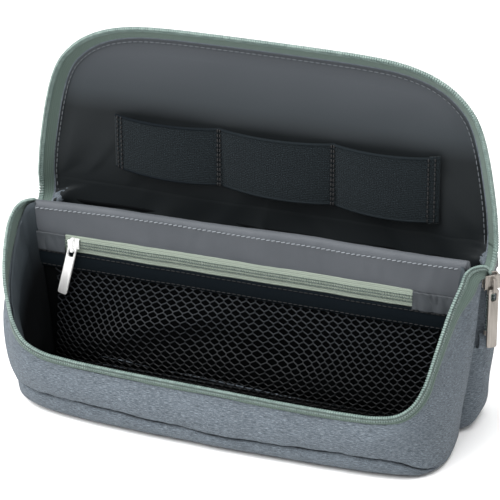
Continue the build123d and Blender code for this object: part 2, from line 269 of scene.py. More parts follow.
def tube(name, line, radius, material):
    """A round cord of fabric or thread along a line."""
    line = np.asarray(line, float)
    helper = np.array([0.31, 0.52, 0.79])
    axes = frames_along(line, helper)
    turn = np.linspace(0, 2 * np.pi, TUBE_SIDES, endpoint=False)
    ring = np.cos(turn)[:, None, None] * axes[None, :, 1] + np.sin(turn)[:, None, None] * axes[None, :, 2]
    rows = line[None] + radius * ring
    return cloth(name, rows.transpose(1, 0, 2), material, thick=0, closed=True)


def belongs(piece, body, slot, *nodes):
    """Puts a piece on its body and hides the CAD nodes that it stands for. The finish, slot, is not used."""
    if body:
        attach(piece, body)
    if nodes:
        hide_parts(*nodes)
    return piece


# ---- materials ----------------------------------------------------------------------------------------
class Shader:
    """A material's node tree, with short calls for the nodes that the fabrics share."""

    def __init__(self, name, rough, specular=0.3, metallic=0.0, sheen=0.0):
        self.material = bpy.data.materials.new(name)
        self.material.use_nodes = True
        self.tree = self.material.node_tree
        self.main = self.tree.nodes["Principled BSDF"]
        self.main.inputs["Roughness"].default_value = rough
        self.main.inputs["Specular IOR Level"].default_value = specular
        self.main.inputs["Metallic"].default_value = metallic
        self.main.inputs["Sheen Weight"].default_value = sheen
        self.main.inputs["Sheen Roughness"].default_value = 0.6
        self.place = self.new("ShaderNodeTexCoord")

    def new(self, kind):
        return self.tree.nodes.new(kind)

    def link(self, source, target):
        self.tree.links.new(source, target)

    def stretched(self, scale, source="UV", turn=0.0):
        node = self.new("ShaderNodeMapping")
        self.link(self.place.outputs[source], node.inputs["Vector"])
        node.inputs["Scale"].default_value = scale
        node.inputs["Rotation"].default_value = (0, 0, turn)
        return node.outputs["Vector"]

    def grain(self, scale, source="UV", detail=2.0, rough=0.6):
        node = self.new("ShaderNodeTexNoise")
        self.link(self.stretched(scale, source), node.inputs["Vector"])
        node.inputs["Scale"].default_value = 1.0
        node.inputs["Detail"].default_value = detail
        node.inputs["Roughness"].default_value = rough
        return node.outputs["Fac"]

    def ribs(self, direction, scale, distortion=0.0, stretch=(1, 1, 1), source="UV", turn=0.0):
        node = self.new("ShaderNodeTexWave")
        self.link(self.stretched(stretch, source, turn), node.inputs["Vector"])
        node.bands_direction = direction
        node.inputs["Scale"].default_value = scale
        node.inputs["Distortion"].default_value = distortion
        return node.outputs["Fac"]

    def weave(self, scale, distortion):
        """Warp and weft ribs crossed, as a plain weave."""
        warp = self.ribs("X", scale, distortion)
        weft = self.ribs("Y", scale, distortion)
        return self.math("MULTIPLY", warp, weft)

    def ramp(self, value, stops):
        node = self.new("ShaderNodeValToRGB")
        self.link(value, node.inputs["Fac"])
        elements = node.color_ramp.elements
        while len(elements) < len(stops):
            elements.new(0.5)
        for element, (at, colour) in zip(elements, stops):
            element.position = at
            element.color = (*colour, 1.0)
        return node.outputs["Color"]

    def math(self, operation, a, b):
        node = self.new("ShaderNodeMath")
        node.operation = operation
        for socket, value in zip(node.inputs, (a, b)):
            if isinstance(value, float):
                socket.default_value = value
            else:
                self.link(value, socket)
        return node.outputs["Value"]

    def times(self, a, b, amount=1.0):
        node = self.new("ShaderNodeMix")
        node.data_type = "RGBA"
        node.blend_type = "MULTIPLY"
        node.inputs["Factor"].default_value = amount
        self.link(a, node.inputs["A"])
        self.link(b, node.inputs["B"])
        return node.outputs["Result"]

    def shade(self, value, low, high):
        """A grey factor for times(), between low and high."""
        return self.ramp(value, [(0.3, grey(low)), (0.7, grey(high))])

    def colour(self, source):
        self.link(source, self.main.inputs["Base Color"])

    def bump(self, height, strength, distance):
        node = self.new("ShaderNodeBump")
        self.link(height, node.inputs["Height"])
        node.inputs["Strength"].default_value = strength
        node.inputs["Distance"].default_value = distance
        self.link(node.outputs["Normal"], self.main.inputs["Normal"])


def grey(value):
    """The same value for red, green and blue."""
    return (value, value, value)


def heather_fabric():
    """Melange grey polyester: pale and dark fibres in short level streaks, over a fine plain weave."""
    s = Shader("heather_fabric", rough=0.92, specular=0.12, sheen=0.05)
    streaks = s.grain((45, 620, 1))
    slubs = s.grain((12, 300, 1))
    upright = s.grain((620, 60, 1))
    cloudy = s.grain((4, 5, 1), rough=0.5)
    base = s.ramp(streaks, [(0.32, (0.030, 0.038, 0.046)), (0.52, (0.092, 0.110, 0.129)),
                            (0.68, (0.178, 0.202, 0.224))])
    slub = s.ramp(slubs, [(0.32, grey(0.60)), (0.5, grey(1.0)), (0.68, grey(1.30))])
    cross = s.shade(upright, 0.72, 1.24)
    shade = s.shade(cloudy, 0.94, 1.05)
    s.colour(s.times(s.times(s.times(base, slub, 0.8), cross), shade))
    s.bump(s.math("ADD", s.weave(44.0, 0.6), s.math("MULTIPLY", streaks, 0.8)), 0.45, 0.0003)
    return s.material


def lining_fabric(name, dark, light):
    """Smooth close-woven nylon, with a faint sheen and very fine ribs."""
    s = Shader(name, rough=0.62, specular=0.35, sheen=0.06)
    cloudy = s.grain((3, 4, 1), detail=3.0, rough=0.55)
    grain = s.grain((260, 260, 1))
    base = s.ramp(cloudy, [(0.3, dark), (0.7, light)])
    s.colour(s.times(base, s.shade(grain, 0.9, 1.08)))
    s.bump(s.math("ADD", s.weave(60.0, 0.3), grain), 0.22, 0.00015)
    return s.material


def lining_graded(name, rough, specular, stops, upright=False):
    """Cloth whose tone changes along it, or with its height in units of 100 mm where it is upright. For the
    linings of the lid and the front lobe and for the net, this change is painted shade, darker lower down.
    """
    s = Shader(name, rough=rough, specular=specular)
    split = s.new("ShaderNodeSeparateXYZ")
    s.link(s.stretched((10, 10, 10), "Object") if upright else s.place.outputs["UV"], split.inputs["Vector"])
    grain = s.grain((260, 260, 1))
    base = s.ramp(split.outputs["Z" if upright else "Y"], stops)
    s.colour(s.times(base, s.shade(grain, 0.9, 1.08)))
    s.bump(grain, 0.2, 0.00015)
    return s.material


def tape_fabric(name, dark, light):
    """Woven zipper tape: fine ribs along its length, crossed by a herringbone."""
    s = Shader(name, rough=0.85, specular=0.2, sheen=0.1)
    ribs = s.ribs("Y", 30.0, 0.4)
    picks = s.ribs("X", 38.0, 0.5, turn=0.6)
    grain = s.grain((220, 160, 1))
    woven = s.math("ADD", s.math("MULTIPLY", ribs, 0.5), s.math("MULTIPLY", picks, 0.5))
    base = s.ramp(woven, [(0.15, dark), (0.8, light)])
    s.colour(s.times(base, s.shade(grain, 0.82, 1.14)))
    s.bump(woven, 0.5, 0.00025)
    return s.material


def coil_plastic(name, dark, light):
    """Moulded nylon coil, a little glossy."""
    s = Shader(name, rough=0.42, specular=0.5)
    tone = s.grain((420, 420, 420), "Object", 1.0, 0.5)
    s.colour(s.ramp(tone, [(0.3, dark), (0.7, light)]))
    s.bump(tone, 0.1, 0.0001)
    return s.material


def elastic_webbing():
    """Wide elastic: fine level ribs, with pale specks where the rubber shows."""
    s = Shader("elastic_webbing", rough=0.88, specular=0.12, sheen=0.03)
    ribs = s.ribs("Y", 34.0, 0.2)
    specks = s.grain((170, 240, 1), rough=0.75)
    columns = s.ribs("X", 26.0, 0.8)
    base = s.ramp(specks, [(0.40, (0.0012, 0.0028, 0.0040)), (0.56, (0.0044, 0.0080, 0.0102)),
                           (0.72, (0.024, 0.034, 0.040))])
    s.colour(s.times(base, s.ramp(ribs, [(0.2, grey(0.55)), (0.7, grey(1.15))]), 0.6))
    s.bump(s.math("ADD", ribs, s.math("MULTIPLY", columns, 0.4)), 0.6, 0.0003)
    return s.material


def thread(name, colour):
    """Sewing thread with a fine twist."""
    s = Shader(name, rough=0.6, specular=0.4)
    twist = s.ribs("DIAGONAL", 1.0, stretch=(900, 900, 900), source="Object", turn=0.7)
    pale = tuple(min(1.0, c * 1.25) for c in colour)
    s.colour(s.ramp(twist, [(0.2, tuple(c * 0.75 for c in colour)), (0.8, pale)]))
    s.bump(twist, 0.3, 0.0001)
    return s.material


def brushed_metal(name, dark, light, metallic):
    """Plated zinc with a fine lengthwise brush."""
    rough = 0.42
    s = Shader(name, rough=rough, specular=0.5, metallic=metallic)
    brush = s.grain((900, 900, 40), "Object", 3.0, 0.6)
    s.colour(s.ramp(brush, [(0.3, dark), (0.7, light)]))
    wear = s.shade(s.grain((90, 90, 60), "Object"), rough * 0.8, rough * 1.35)
    s.link(wear, s.main.inputs["Roughness"])
    s.bump(brush, 0.12, 0.00005)
    return s.material


HEATHER = heather_fabric()
LINING = lining_fabric("lining_nylon", (0.043, 0.049, 0.057), (0.056, 0.062, 0.071))
# The lid's lining: a darker copy of the lining nylon, ramped by height. This is painted shade that deepens
# towards the hinge.
LINING_LID_PAINTED_SHADE = lining_graded("lining_of_lid_painted_shade", 0.7, 0.2, [
    (0.40, (0.0040, 0.0060, 0.0072)), (0.52, (0.022, 0.027, 0.031)), (0.74, (0.039, 0.044, 0.050))])
LINING_DARK = lining_graded("lining_in_shade", 0.95, 0.04, [
    (0.3, (0.0015, 0.0018, 0.002)), (0.7, (0.003, 0.0035, 0.004))])
# The front lobe's lining: painted shade, lit near the chain and darkening to near black further down inside
# the lobe.
LINING_INSIDE_PAINTED_SHADE = lining_graded("lining_of_front_lobe_painted_shade", 0.85, 0.1, [
    (0.04, (0.036, 0.044, 0.050)), (0.16, (0.018, 0.023, 0.027)), (0.36, (0.002, 0.0025, 0.003))])
BINDING = lining_graded("pocket_binding", 0.95, 0.06, [
    (0.3, (0.0030, 0.0050, 0.0068)), (0.7, (0.0060, 0.0088, 0.0112))])
# A darker copy of the lining nylon: painted shade for the creased pocket end tabs and the hinge webs.
LINING_TAB_PAINTED_SHADE = lining_fabric("tab_nylon_painted_shade", (0.022, 0.027, 0.032), (0.034, 0.040, 0.046))
TAPE = tape_fabric("sage_tape", (0.044, 0.068, 0.059), (0.092, 0.128, 0.110))
TAPE_PALE = tape_fabric("pale_sage_tape", (0.145, 0.176, 0.146), (0.250, 0.288, 0.240))
COIL = coil_plastic("sage_coil", (0.105, 0.150, 0.138), (0.170, 0.228, 0.208))
COIL_PALE = coil_plastic("pale_sage_coil", (0.150, 0.184, 0.156), (0.225, 0.262, 0.225))
ELASTIC = elastic_webbing()
ELASTIC_EDGE = lining_graded("elastic_edge", 0.9, 0.08, [
    (0.3, (0.004, 0.006, 0.008)), (0.7, (0.008, 0.011, 0.013))])
# The net's yarn: painted shade, darkening to near black by height towards the bottom of the pocket.
NET_PAINTED_SHADE = lining_graded("mesh_yarn_painted_shade", 0.6, 0.3, [
    (0.06, (0.0004, 0.0006, 0.0008)), (0.22, (0.0020, 0.0028, 0.0038)), (0.45, (0.0075, 0.0098, 0.0125))],
    upright=True)
THREAD_GREY = thread("grey_thread", (0.155, 0.17, 0.185))
THREAD_FAINT = thread("faint_thread", (0.085, 0.095, 0.105))
THREAD_DARK = thread("dark_thread", (0.002, 0.002, 0.0025))
THREAD_SAGE = thread("sage_thread", (0.090, 0.122, 0.108))
THREAD_DEEP_SAGE = thread("deep_sage_thread", (0.050, 0.070, 0.062))
NICKEL = brushed_metal("brushed_nickel", (0.20, 0.182, 0.162), (0.31, 0.286, 0.260), metallic=0.8)
# A paler, less metallic copy of the nickel: painted highlight for the pocket's slider and puller.
NICKEL_PAINTED_HIGHLIGHT = brushed_metal("nickel_painted_highlight", (0.86, 0.86, 0.85), (0.95, 0.95, 0.94), metallic=0.4)


# ---- the rim of the front lobe ----------------------------------------------------------------------
def on_rim(x, s, h=0.0):
    """A point over the rim's plane: across, down the slope from the divider's top, and proud of it."""
    y, z = np.array([0, FOLD_TOP]) + RIM_RUN * s + np.array([RIM_RUN[1], -RIM_RUN[0]]) * h
    return (x, y, z)


RIM_SAMPLES = 261
# The points of the rim, the base seam, the lid's outline, REAR_SECTIONS and the strap are fixed millimetres.
# They don't come from the frame, so they don't follow a change in the CAD's sizes.
# Each line: the coil's middle, then the fabric's edge below it, from the slider round to the middle.
RIGHT_RIM = [
    (120.3, 4.8, 87.0) + (118.8, 8.5, 83.4),
    (119.0, 2.4, 90.6) + (119.0, 5.0, 85.0),
    (115.8, -2.6, 92.2) + (118.8, -0.2, 87.0),
    (112.8, -8.0, 91.2) + (117.4, -5.4, 87.2),
    on_rim(111.6, 13, 6.4) + on_rim(116.0, 14, 0.8),
    on_rim(109.0, 25, 5.8) + on_rim(111.8, 24.5, 1.0),
    on_rim(107.4, 36, 4.6) + on_rim(109.6, 36, 1.0),
    on_rim(106.2, 46, 3.8) + on_rim(108.2, 46.4, 1.0),
    on_rim(105.2, 55, 3.4) + on_rim(107.0, 56, 0.9),
    on_rim(103.8, 64, 3.2) + on_rim(105.8, 65.4, 0.8),
    on_rim(100.2, 72.5, 2.8) + on_rim(101.6, 74.2, 0.7),
    on_rim(94.0, 78, 2.5) + on_rim(94.9, 79.8, 0.6),
    on_rim(84.0, 80.6, 2.2) + on_rim(84.4, 82.5, 0.6),
    on_rim(70.0, 81.4, 2.1) + on_rim(70.1, 83.3, 0.5),
    on_rim(40.0, 81.6, 2.1) + on_rim(40.0, 83.5, 0.5),
]
LEFT_RIM = [
    (115.0, 8.4, 84.4) + (116.8, 9.6, 80.6),
    (115.2, 4.4, 87.4) + (117.4, 6.0, 82.8),
    (115.6, 0.4, 88.9) + (117.6, 1.6, 84.0),
    (117.4, -4.4, 89.6) + (117.6, -2.0, 84.6),
    (118.8, -9.2, 88.0) + (117.8, -5.4, 82.6),
    on_rim(119.6, 15, 5.6) + on_rim(118.0, 14, 0),
    on_rim(119.0, 25, 5.6) + on_rim(117.8, 25, 0),
    on_rim(117.2, 36, 5.4) + on_rim(117.0, 36, 0),
    on_rim(114.6, 46, 4.8) + on_rim(115.2, 46, 0),
    on_rim(110.6, 56, 4.0) + on_rim(111.6, 56.6, 0.4),
    on_rim(105.8, 65.5, 3.4) + on_rim(107.2, 67, 0.6),
    on_rim(98.4, 73.4, 2.9) + on_rim(99.6, 75.0, 0.6),
    on_rim(88.0, 77.6, 2.5) + on_rim(88.7, 79.4, 0.6),
    on_rim(74.0, 79.2, 2.2) + on_rim(74.3, 81.1, 0.5),
    on_rim(50.0, 80.2, 2.1) + on_rim(50.1, 82.1, 0.5),
]
MIDDLE_RIM = [on_rim(0.0, 81.0, 2.1) + on_rim(0.0, 82.9, 0.5)]
LEFT_TO_RIGHT = np.vstack([mirrored(LEFT_RIM)[::-1], MIDDLE_RIM, np.array(RIGHT_RIM)[::-1]])
RIM = smooth(LEFT_TO_RIGHT, RIM_SAMPLES)
RIM_COIL, RIM_EDGE = RIM[:, :3], RIM[:, 3:]


CHAIN_PITCH = 1.2


def chain_half(prefix, coil, edge, body, facing):
    """One side of an open coil zipper: its tape from the sewn edge, its teeth and their sewing lines."""
    rise = unit(coil - edge)
    face = unit(np.cross(tangents(coil), rise)) * facing
    length = lengths_along(coil)[-1]
    spots = evenly(np.hstack([coil, rise, face]), int(length / CHAIN_PITCH))
    at, up, out = spots[:, :3], unit(spots[:, 3:6]), unit(spots[:, 6:])
    along = unit(np.cross(up, out))
    lean = unit(up + along * 0.14)
    axes = np.stack([np.cross(lean, out), lean, out], axis=1)
    teeth = scatter(prefix + "_teeth", BEAD, at + out * 0.30, axes, (1.08, 2.6, 1.4), COIL)
    beads = scatter(prefix + "_heads", BEAD, at + up * 1.1 + out * 0.35, axes, (1.12, 0.8, 1.8), COIL)
    rows = [edge + (coil - edge) * share for share in np.linspace(-0.12, 1.0, 7)]
    tape = cloth(prefix + "_tape_cloth", np.array(rows), TAPE, thick=0.6 if body else 0, offset=0.0)
    sewn = coil + rise * 0.2 + face * 0.85
    sewing = stitches(prefix + "_sewing", sewn, face, THREAD_DEEP_SAGE, CHAIN_PITCH, 1.3, 0.5)
    welted = coil - rise * 1.45 + face * 0.5
    welt = stitches(prefix + "_tape_sewing", welted, face, THREAD_SAGE, CHAIN_PITCH, 1.25, 0.5)
    pieces = [teeth, beads, tape, sewing, welt]
    for piece in pieces:
        if body:
            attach(piece, body)
    return pieces


# ---- front lobe -----------------------------------------------------------------------------------------
# The base seam, each half, from the valley between the lobes round to the middle.
LEFT_SEAM = [
    (103.0, 3.0, 12.0), (108.0, 0.2, 12.0), (111.6, -6.0, 12.0), (113.4, -14.0, 12.0), (113.6, -24.0, 12.0),
    (111.6, -33.0, 12.0), (106.6, -41.0, 12.0), (97.0, -48.0, 12.0), (82.0, -52.4, 12.2), (60.0, -55.0, 12.4),
    (28.0, -56.2, 11.2),
]
RIGHT_SEAM = [
    (102.0, 3.0, 3.4), (106.6, 0.2, 2.2), (109.4, -6.0, 1.6), (111.2, -15.0, 1.4), (111.8, -26.0, 1.6),
    (110.2, -37.0, 2.6), (105.2, -46.0, 5.4), (95.6, -51.6, 9.4), (80.0, -54.6, 11.4), (58.0, -55.8, 11.2),
    (28.0, -56.4, 10.2),
]
SEAM = smooth(np.vstack([mirrored(LEFT_SEAM)[::-1], [(0.0, -56.6, 9.8)], RIGHT_SEAM[::-1]]), RIM_SAMPLES)
# The wall's top edge starts further back than the chain, in the valley.
RIGHT_VALLEY = [(112.0, 4.0, 80.0), (116.4, 1.6, 83.0)]


def wall_top():
    """The fabric's edge under the chain, from valley to valley."""
    edge = RIM_EDGE[(RIM_EDGE[:, 1] < -1.0)]
    right = np.array(RIGHT_VALLEY)
    line = np.vstack([mirrored(right)[::-1], edge, right[::-1]])
    return evenly(smooth(line, 4 * RIM_SAMPLES), RIM_SAMPLES)


def front_wall_rows():
    """The wall from its base seam up to the chain, a little fuller half way up."""
    top = wall_top()
    outward = unit(np.cross(tangents(SEAM), [0, 0, 1.0]))
    on_left = np.clip((-SEAM[:, :1] - 104) / 8, 0, 1)
    on_right = np.clip((SEAM[:, :1] - 102) / 8, 0, 1)
    rows = []
    for v in np.linspace(0, 1, 30):
        full = math.sin(math.pi * v ** 0.8) * (2.6 - 1.6 * on_right + 3.0 * on_left * v ** 0.5)
        row = SEAM * (1 - v) + top * v + outward * full
        rows.append(row)
    return np.array(rows)


def base_seam(inset, drop):
    """The seam between the wall and the base panel, wavy where the cloth puckers, moved in and down."""
    inward = unit(np.cross([0, 0, 1.0], tangents(SEAM)))
    wander = wave(SEAM * [1, 1, 0], 21.0, 77, 1.5) + wave(SEAM * [1, 1, 0], 8.0, 78, 0.5)
    line = SEAM + inward * inset
    line[:, 2] += wander - drop
    return line


def make_front_lobe():
    """The wall, the base panel below its seam, and the lining of the front lobe."""
    wall = front_wall_rows()
    wall = bump_rows(wall, 34.0, 0.9, seed=2)
    wall = bump_rows(wall, 11.0, 0.22, seed=5)
    near_seam = np.exp(-np.linspace(0, 1, len(wall)) * 9)[:, None, None]
    wall = wall + near_seam * normals_of(wall) * wave(wall * [1, 1, 0.2], 6.0, 9, 0.8)[..., None]
    inner_seam = base_seam(2.2, 0.5)
    wall = np.concatenate([inner_seam[None], base_seam(0.3, -0.35)[None], wall[1:]])
    piece = cloth("front_wall_cloth", wall, HEATHER, thick=1.4, offset=-1.0)
    belongs(piece, "pouch", "outer_fabric", "front_wall_middle", "front_wall_left", "front_wall_right",
            "front_wall_pad")

    front = inner_seam[inner_seam[:, 1] < -0.4]
    across = np.linspace(front[-1], front[0], 60)[1:-1]
    loop = evenly(np.vstack([front, across, front[:1]]), 361)[:-1]
    outward = unit(np.cross(tangents(loop), [0, 0, 1.0]))
    profile = [(0.0, 1.0), (1.8, 0.93), (2.4, 0.76), (2.0, 0.52), (0.4, 0.28), (-2.4, 0.1), (-6.4, 0.02),
               (-11.0, 0.0)]
    fullness = np.clip(loop[:, 2:] / 9.0, 0.15, 1.0) * np.clip((loop[:, :1] + 150) / 110, 0.3, 1.0)
    rows = []
    for out, share in profile:
        moved = loop + outward * out * (fullness if out > 0 else 1.0)
        rows.append(np.column_stack([moved[:, :2], loop[:, 2] * share]))
    centre = np.array([0.0, -26.0])
    floor_edge = rows[-1][:, :2]
    for share in (0.7, 0.4, 0.1):
        rows.append(np.column_stack([centre + (floor_edge - centre) * share, np.zeros(len(loop))]))
    rows = np.array(rows)
    rows[:4] += (outward * wave(rows[0] * [1, 1, 0], 7.0, 4, 0.3)[:, None])[None]
    base = cloth("front_base_cloth", rows, HEATHER, thick=1.0, offset=1.0, closed=True)
    belongs(base, "pouch", "outer_fabric", "front_base_panel", "front_base_pad")

    make_front_lining()


def make_front_lining():
    """The lining from the chain down the wall, round to the divider's ends, and over the floor."""
    edge = RIM_EDGE[RIM_EDGE[:, 1] < -7.0]
    inward = unit(np.cross([0, 0, 1.0], tangents(edge)))
    coil = RIM_COIL[RIM_EDGE[:, 1] < -7.0]
    reach = np.clip(0.1 + 0.65 * np.clip(edge[:, :1] / 60.0, 0, 1), 0, 1)
    top_middle = edge + (coil - edge) * reach + inward * 1.2 + [0, 0, 0.4]
    corner = np.array([(DIVIDER_HALF - 0.5, -2.4, 91.8), (109.6, -4.0, 91.4), (111.0, -6.4, 90.8)])
    left_corner = np.array([(-DIVIDER_LEFT + 0.3, -2.2, 90.4), (-114.4, -3.4, 89.4), (-115.8, -5.6, 87.4)])
    top = evenly(smooth(np.vstack([left_corner, top_middle, corner[::-1]]), 900), 241)
    foot_corner = np.array([(104.0, -1.2, 6.0), (105.5, -4.0, 5.6)])
    foot_front = (SEAM + unit(np.cross([0, 0, 1.0], tangents(SEAM))) * 4.6)[SEAM[:, 1] < -8.0]
    foot_front[:, 2] = 5.2
    foot = evenly(smooth(np.vstack([mirrored(foot_corner)[::-1], foot_front, foot_corner[::-1]]), 900), 241)
    outward = unit(np.cross(tangents(foot), [0, 0, 1.0]))
    rows = []
    for v in np.linspace(0, 1, 26):
        slack = -3.9 * min(1.0, v / 0.2) * min(1.0, (1 - v) / 0.15) + 2.0 * math.sin(math.pi * v)
        row = top * (1 - v) + foot * v
        rows.append(row + outward * slack * np.clip(-row[:, 1:2] / 7.0 - 0.3, 0, 1))
    rows = np.array(rows)
    rows = bump_rows(rows, 22.0, 0.8, seed=12)
    side = np.clip((np.abs(rows[..., 0]) - 96) / 10, 0, 1)
    folds = wave(rows * [1.0, 1.0, 0.12], 5.0, 21, 1.1) * side
    rows = rows - normals_of(rows) * folds[..., None]
    lining = cloth("front_lining_cloth", rows, LINING_INSIDE_PAINTED_SHADE, thick=0.5, offset=0.0)
    belongs(lining, "pouch", "lining_fabric", "front_lining")

    loop = evenly(np.vstack([foot, np.linspace(foot[-1], foot[0], 60)[1:]]), 300)
    centre = np.array([0.0, -24.0, 5.0])
    floor = np.array([centre + (loop - centre) * share for share in (1.02, 0.8, 0.55, 0.3, 0.05)])
    floor[..., 2] = 4.9 + wave(floor, 24.0, 3, 0.4)
    piece = cloth("front_floor_cloth", floor, LINING_DARK, thick=0.4, offset=0.0)
    belongs(piece, "pouch", "lining_fabric", "front_floor_lining")


# ---- rear lobe ---------------------------------------------------------------------------------------------
REAR_SECTIONS = [  # height, half width, front, back, corner radius
    (0.0, 101.0, 6.5, 28.0, 6.0),
    (0.15, 107.0, 4.0, 31.0, 8.0),
    (1.4, 111.0, 2.2, 33.2, 9.0),
    (4.6, 114.0, 1.6, 34.8, 10.0),
    (10.0, 115.8, 1.8, 35.8, 12.0),
    (22.0, 117.0, 2.3, 36.6, 14.0),
    (36.0, 118.8, 2.1, 36.9, 14.0),
    (50.0, 119.6, 2.0, 36.4, 14.0),
    (64.0, 119.4, 2.1, 34.0, 13.0),
    (75.0, 118.8, 2.3, 30.6, 11.0),
    (83.0, 118.2, 2.5, 28.2, 9.0),
]


def rounded_loop(half, front, back, radius, count):
    """A level rounded rectangle that starts in the middle of its front and turns to the right."""
    radius = min(radius, (back - front) / 2 - 0.1)
    bend = np.linspace(0, math.pi / 2, 9)
    x, near, far = half - radius, front + radius, back - radius
    right = [(0.0, front)] + [(x + radius * math.sin(a), near - radius * math.cos(a)) for a in bend]
    right += [(x + radius * math.cos(a), far + radius * math.sin(a)) for a in bend] + [(0.0, back)]
    left = [(-px, py) for px, py in right[1:-1]][::-1]
    line = np.array(right + left + right[:1], float)
    return evenly(np.column_stack([line, np.zeros(len(line))]), count + 1)[:-1]


REAR_COLUMNS = 420
ROWS_PER_SECTION = 8


def rear_rows(inset=0.0, low=0.0):
    """The rear lobe's skin as closed level rows, from the floor up to its top edge."""
    keys = np.array(REAR_SECTIONS)
    height, half, front, back, radius = keys.T
    fine = smooth(np.column_stack([half, back, height, front, radius]), ROWS_PER_SECTION * len(keys))
    rows = []
    for half, back, z, front, radius in fine:
        if z < low:
            continue
        loop = rounded_loop(half - inset, front + inset, back - inset, max(radius - inset, 1.0),
                            REAR_COLUMNS)
        loop[:, 2] = z
        rows.append(loop)
    return np.array(rows)


def make_rear_lobe():
    """The skin, floor, lining and top hem of the rear lobe."""
    rows = rear_rows()
    rows = bump_rows(rows, 40.0, 1.0, seed=31)
    rows = bump_rows(rows, 13.0, 0.25, seed=37)
    rows[..., 2] = np.maximum(rows[..., 2], 0.0)
    shell = cloth("rear_lobe_cloth", rows[3:], HEATHER, thick=1.4, offset=-1.0, closed=True)
    belongs(shell, "pouch", "outer_fabric", "rear_gusset_middle", "rear_gusset_left", "rear_gusset_right",
            "back_panel", "back_pad")
    keel = rows[0] * [0.9, 0, 1] + [0, 19.5, 0]
    floor = cloth("rear_base_cloth", np.concatenate([keel[None], rows[:5]]), HEATHER, thick=1.0, offset=-1.0,
                  closed=True)
    belongs(floor, "pouch", "outer_fabric")
    inner = bump_rows(rear_rows(inset=4.2, low=4.0), 26.0, 0.8, seed=41)
    lining = cloth("rear_lining_cloth", inner, LINING_DARK, thick=0.5, offset=0.0, closed=True)
    belongs(lining, "pouch", "lining_fabric", "rear_lining")
    loop = inner[0]
    centre = loop.mean(axis=0)
    plate = np.array([centre + (loop - centre) * share for share in (1.0, 0.6, 0.1)])
    floor_lining = cloth("rear_floor_lining_cloth", plate, LINING_DARK, thick=0.4, offset=0.0, closed=True)
    belongs(floor_lining, "pouch", "lining_fabric")
    top = np.vstack([rows[-1], rows[-1][:1]]) * 0.5 + np.vstack([inner[-1], inner[-1][:1]]) * 0.5
    hem = tube("rear_top_hem", top + [0, 0, -0.4], 1.2, LINING_DARK)
    belongs(hem, "pouch", "lining_fabric")
    make_back_seam()


def make_back_seam():
    """Piping round the back panel, which runs up both sides and under the lobe."""
    keys = np.array(REAR_SECTIONS)[2:]
    z, half, _, back, radius = keys.T
    right = np.column_stack([half - radius * 0.55, back - radius * 0.10 + 0.3, z])
    bottom = np.array([(92.0, 31.6, 0.9), (60.0, 31.8, 0.8), (0.0, 32.0, 0.8)])
    half_line = np.vstack([right[::-1], bottom])
    full = np.vstack([half_line, mirrored(half_line)[1:]])
    piping = tube("back_piping", smooth(full, 500), 0.75, HEATHER)
    belongs(piping, "pouch", "outer_fabric")
    sewn = smooth(full, 500) + [0, 0.35, 0]
    inside = sewn * [0.982, 1, 1] + [0, 0.25, 0.6]
    row = stitches("back_stitches", inside, [0, 1.0, 0], THREAD_DARK, 3.4, 2.5, 0.4)
    belongs(row, "pouch", "outer_fabric")


# ---- divider, its zipped pocket and the mesh ---------------------------------------------------------------
def divider_top(x):
    """The divider's slightly wavy top edge."""
    return 92.9 + 1.2 * (x / 90.0) - 0.5 * (x / 90.0) ** 2 + 0.3 * np.sin(x / 17.0)


def divider_sag(x, z):
    """How far the divider's face stands off its plane: soft waves along the band."""
    points = np.stack([x, z * 0.35, np.zeros_like(x)], axis=-1)
    return wave(points, 16.0, 6, 0.45) + wave(points, 42.0, 8, 0.6)


def on_face(x, y, z):
    """Points across the divider, at y when it hangs straight and moved with its waves."""
    z = np.broadcast_to(np.asarray(z, float), x.shape)
    return np.stack([x, y + divider_sag(x, z), z], axis=-1)


def face_rows(x0, x1, z_low, z_high, y, columns=200, count=12):
    """An upright sheet on the divider's face."""
    x, v = np.meshgrid(np.linspace(x0, x1, columns), np.linspace(0, 1, count))
    return on_face(x, y, z_low + (z_high - z_low) * v)


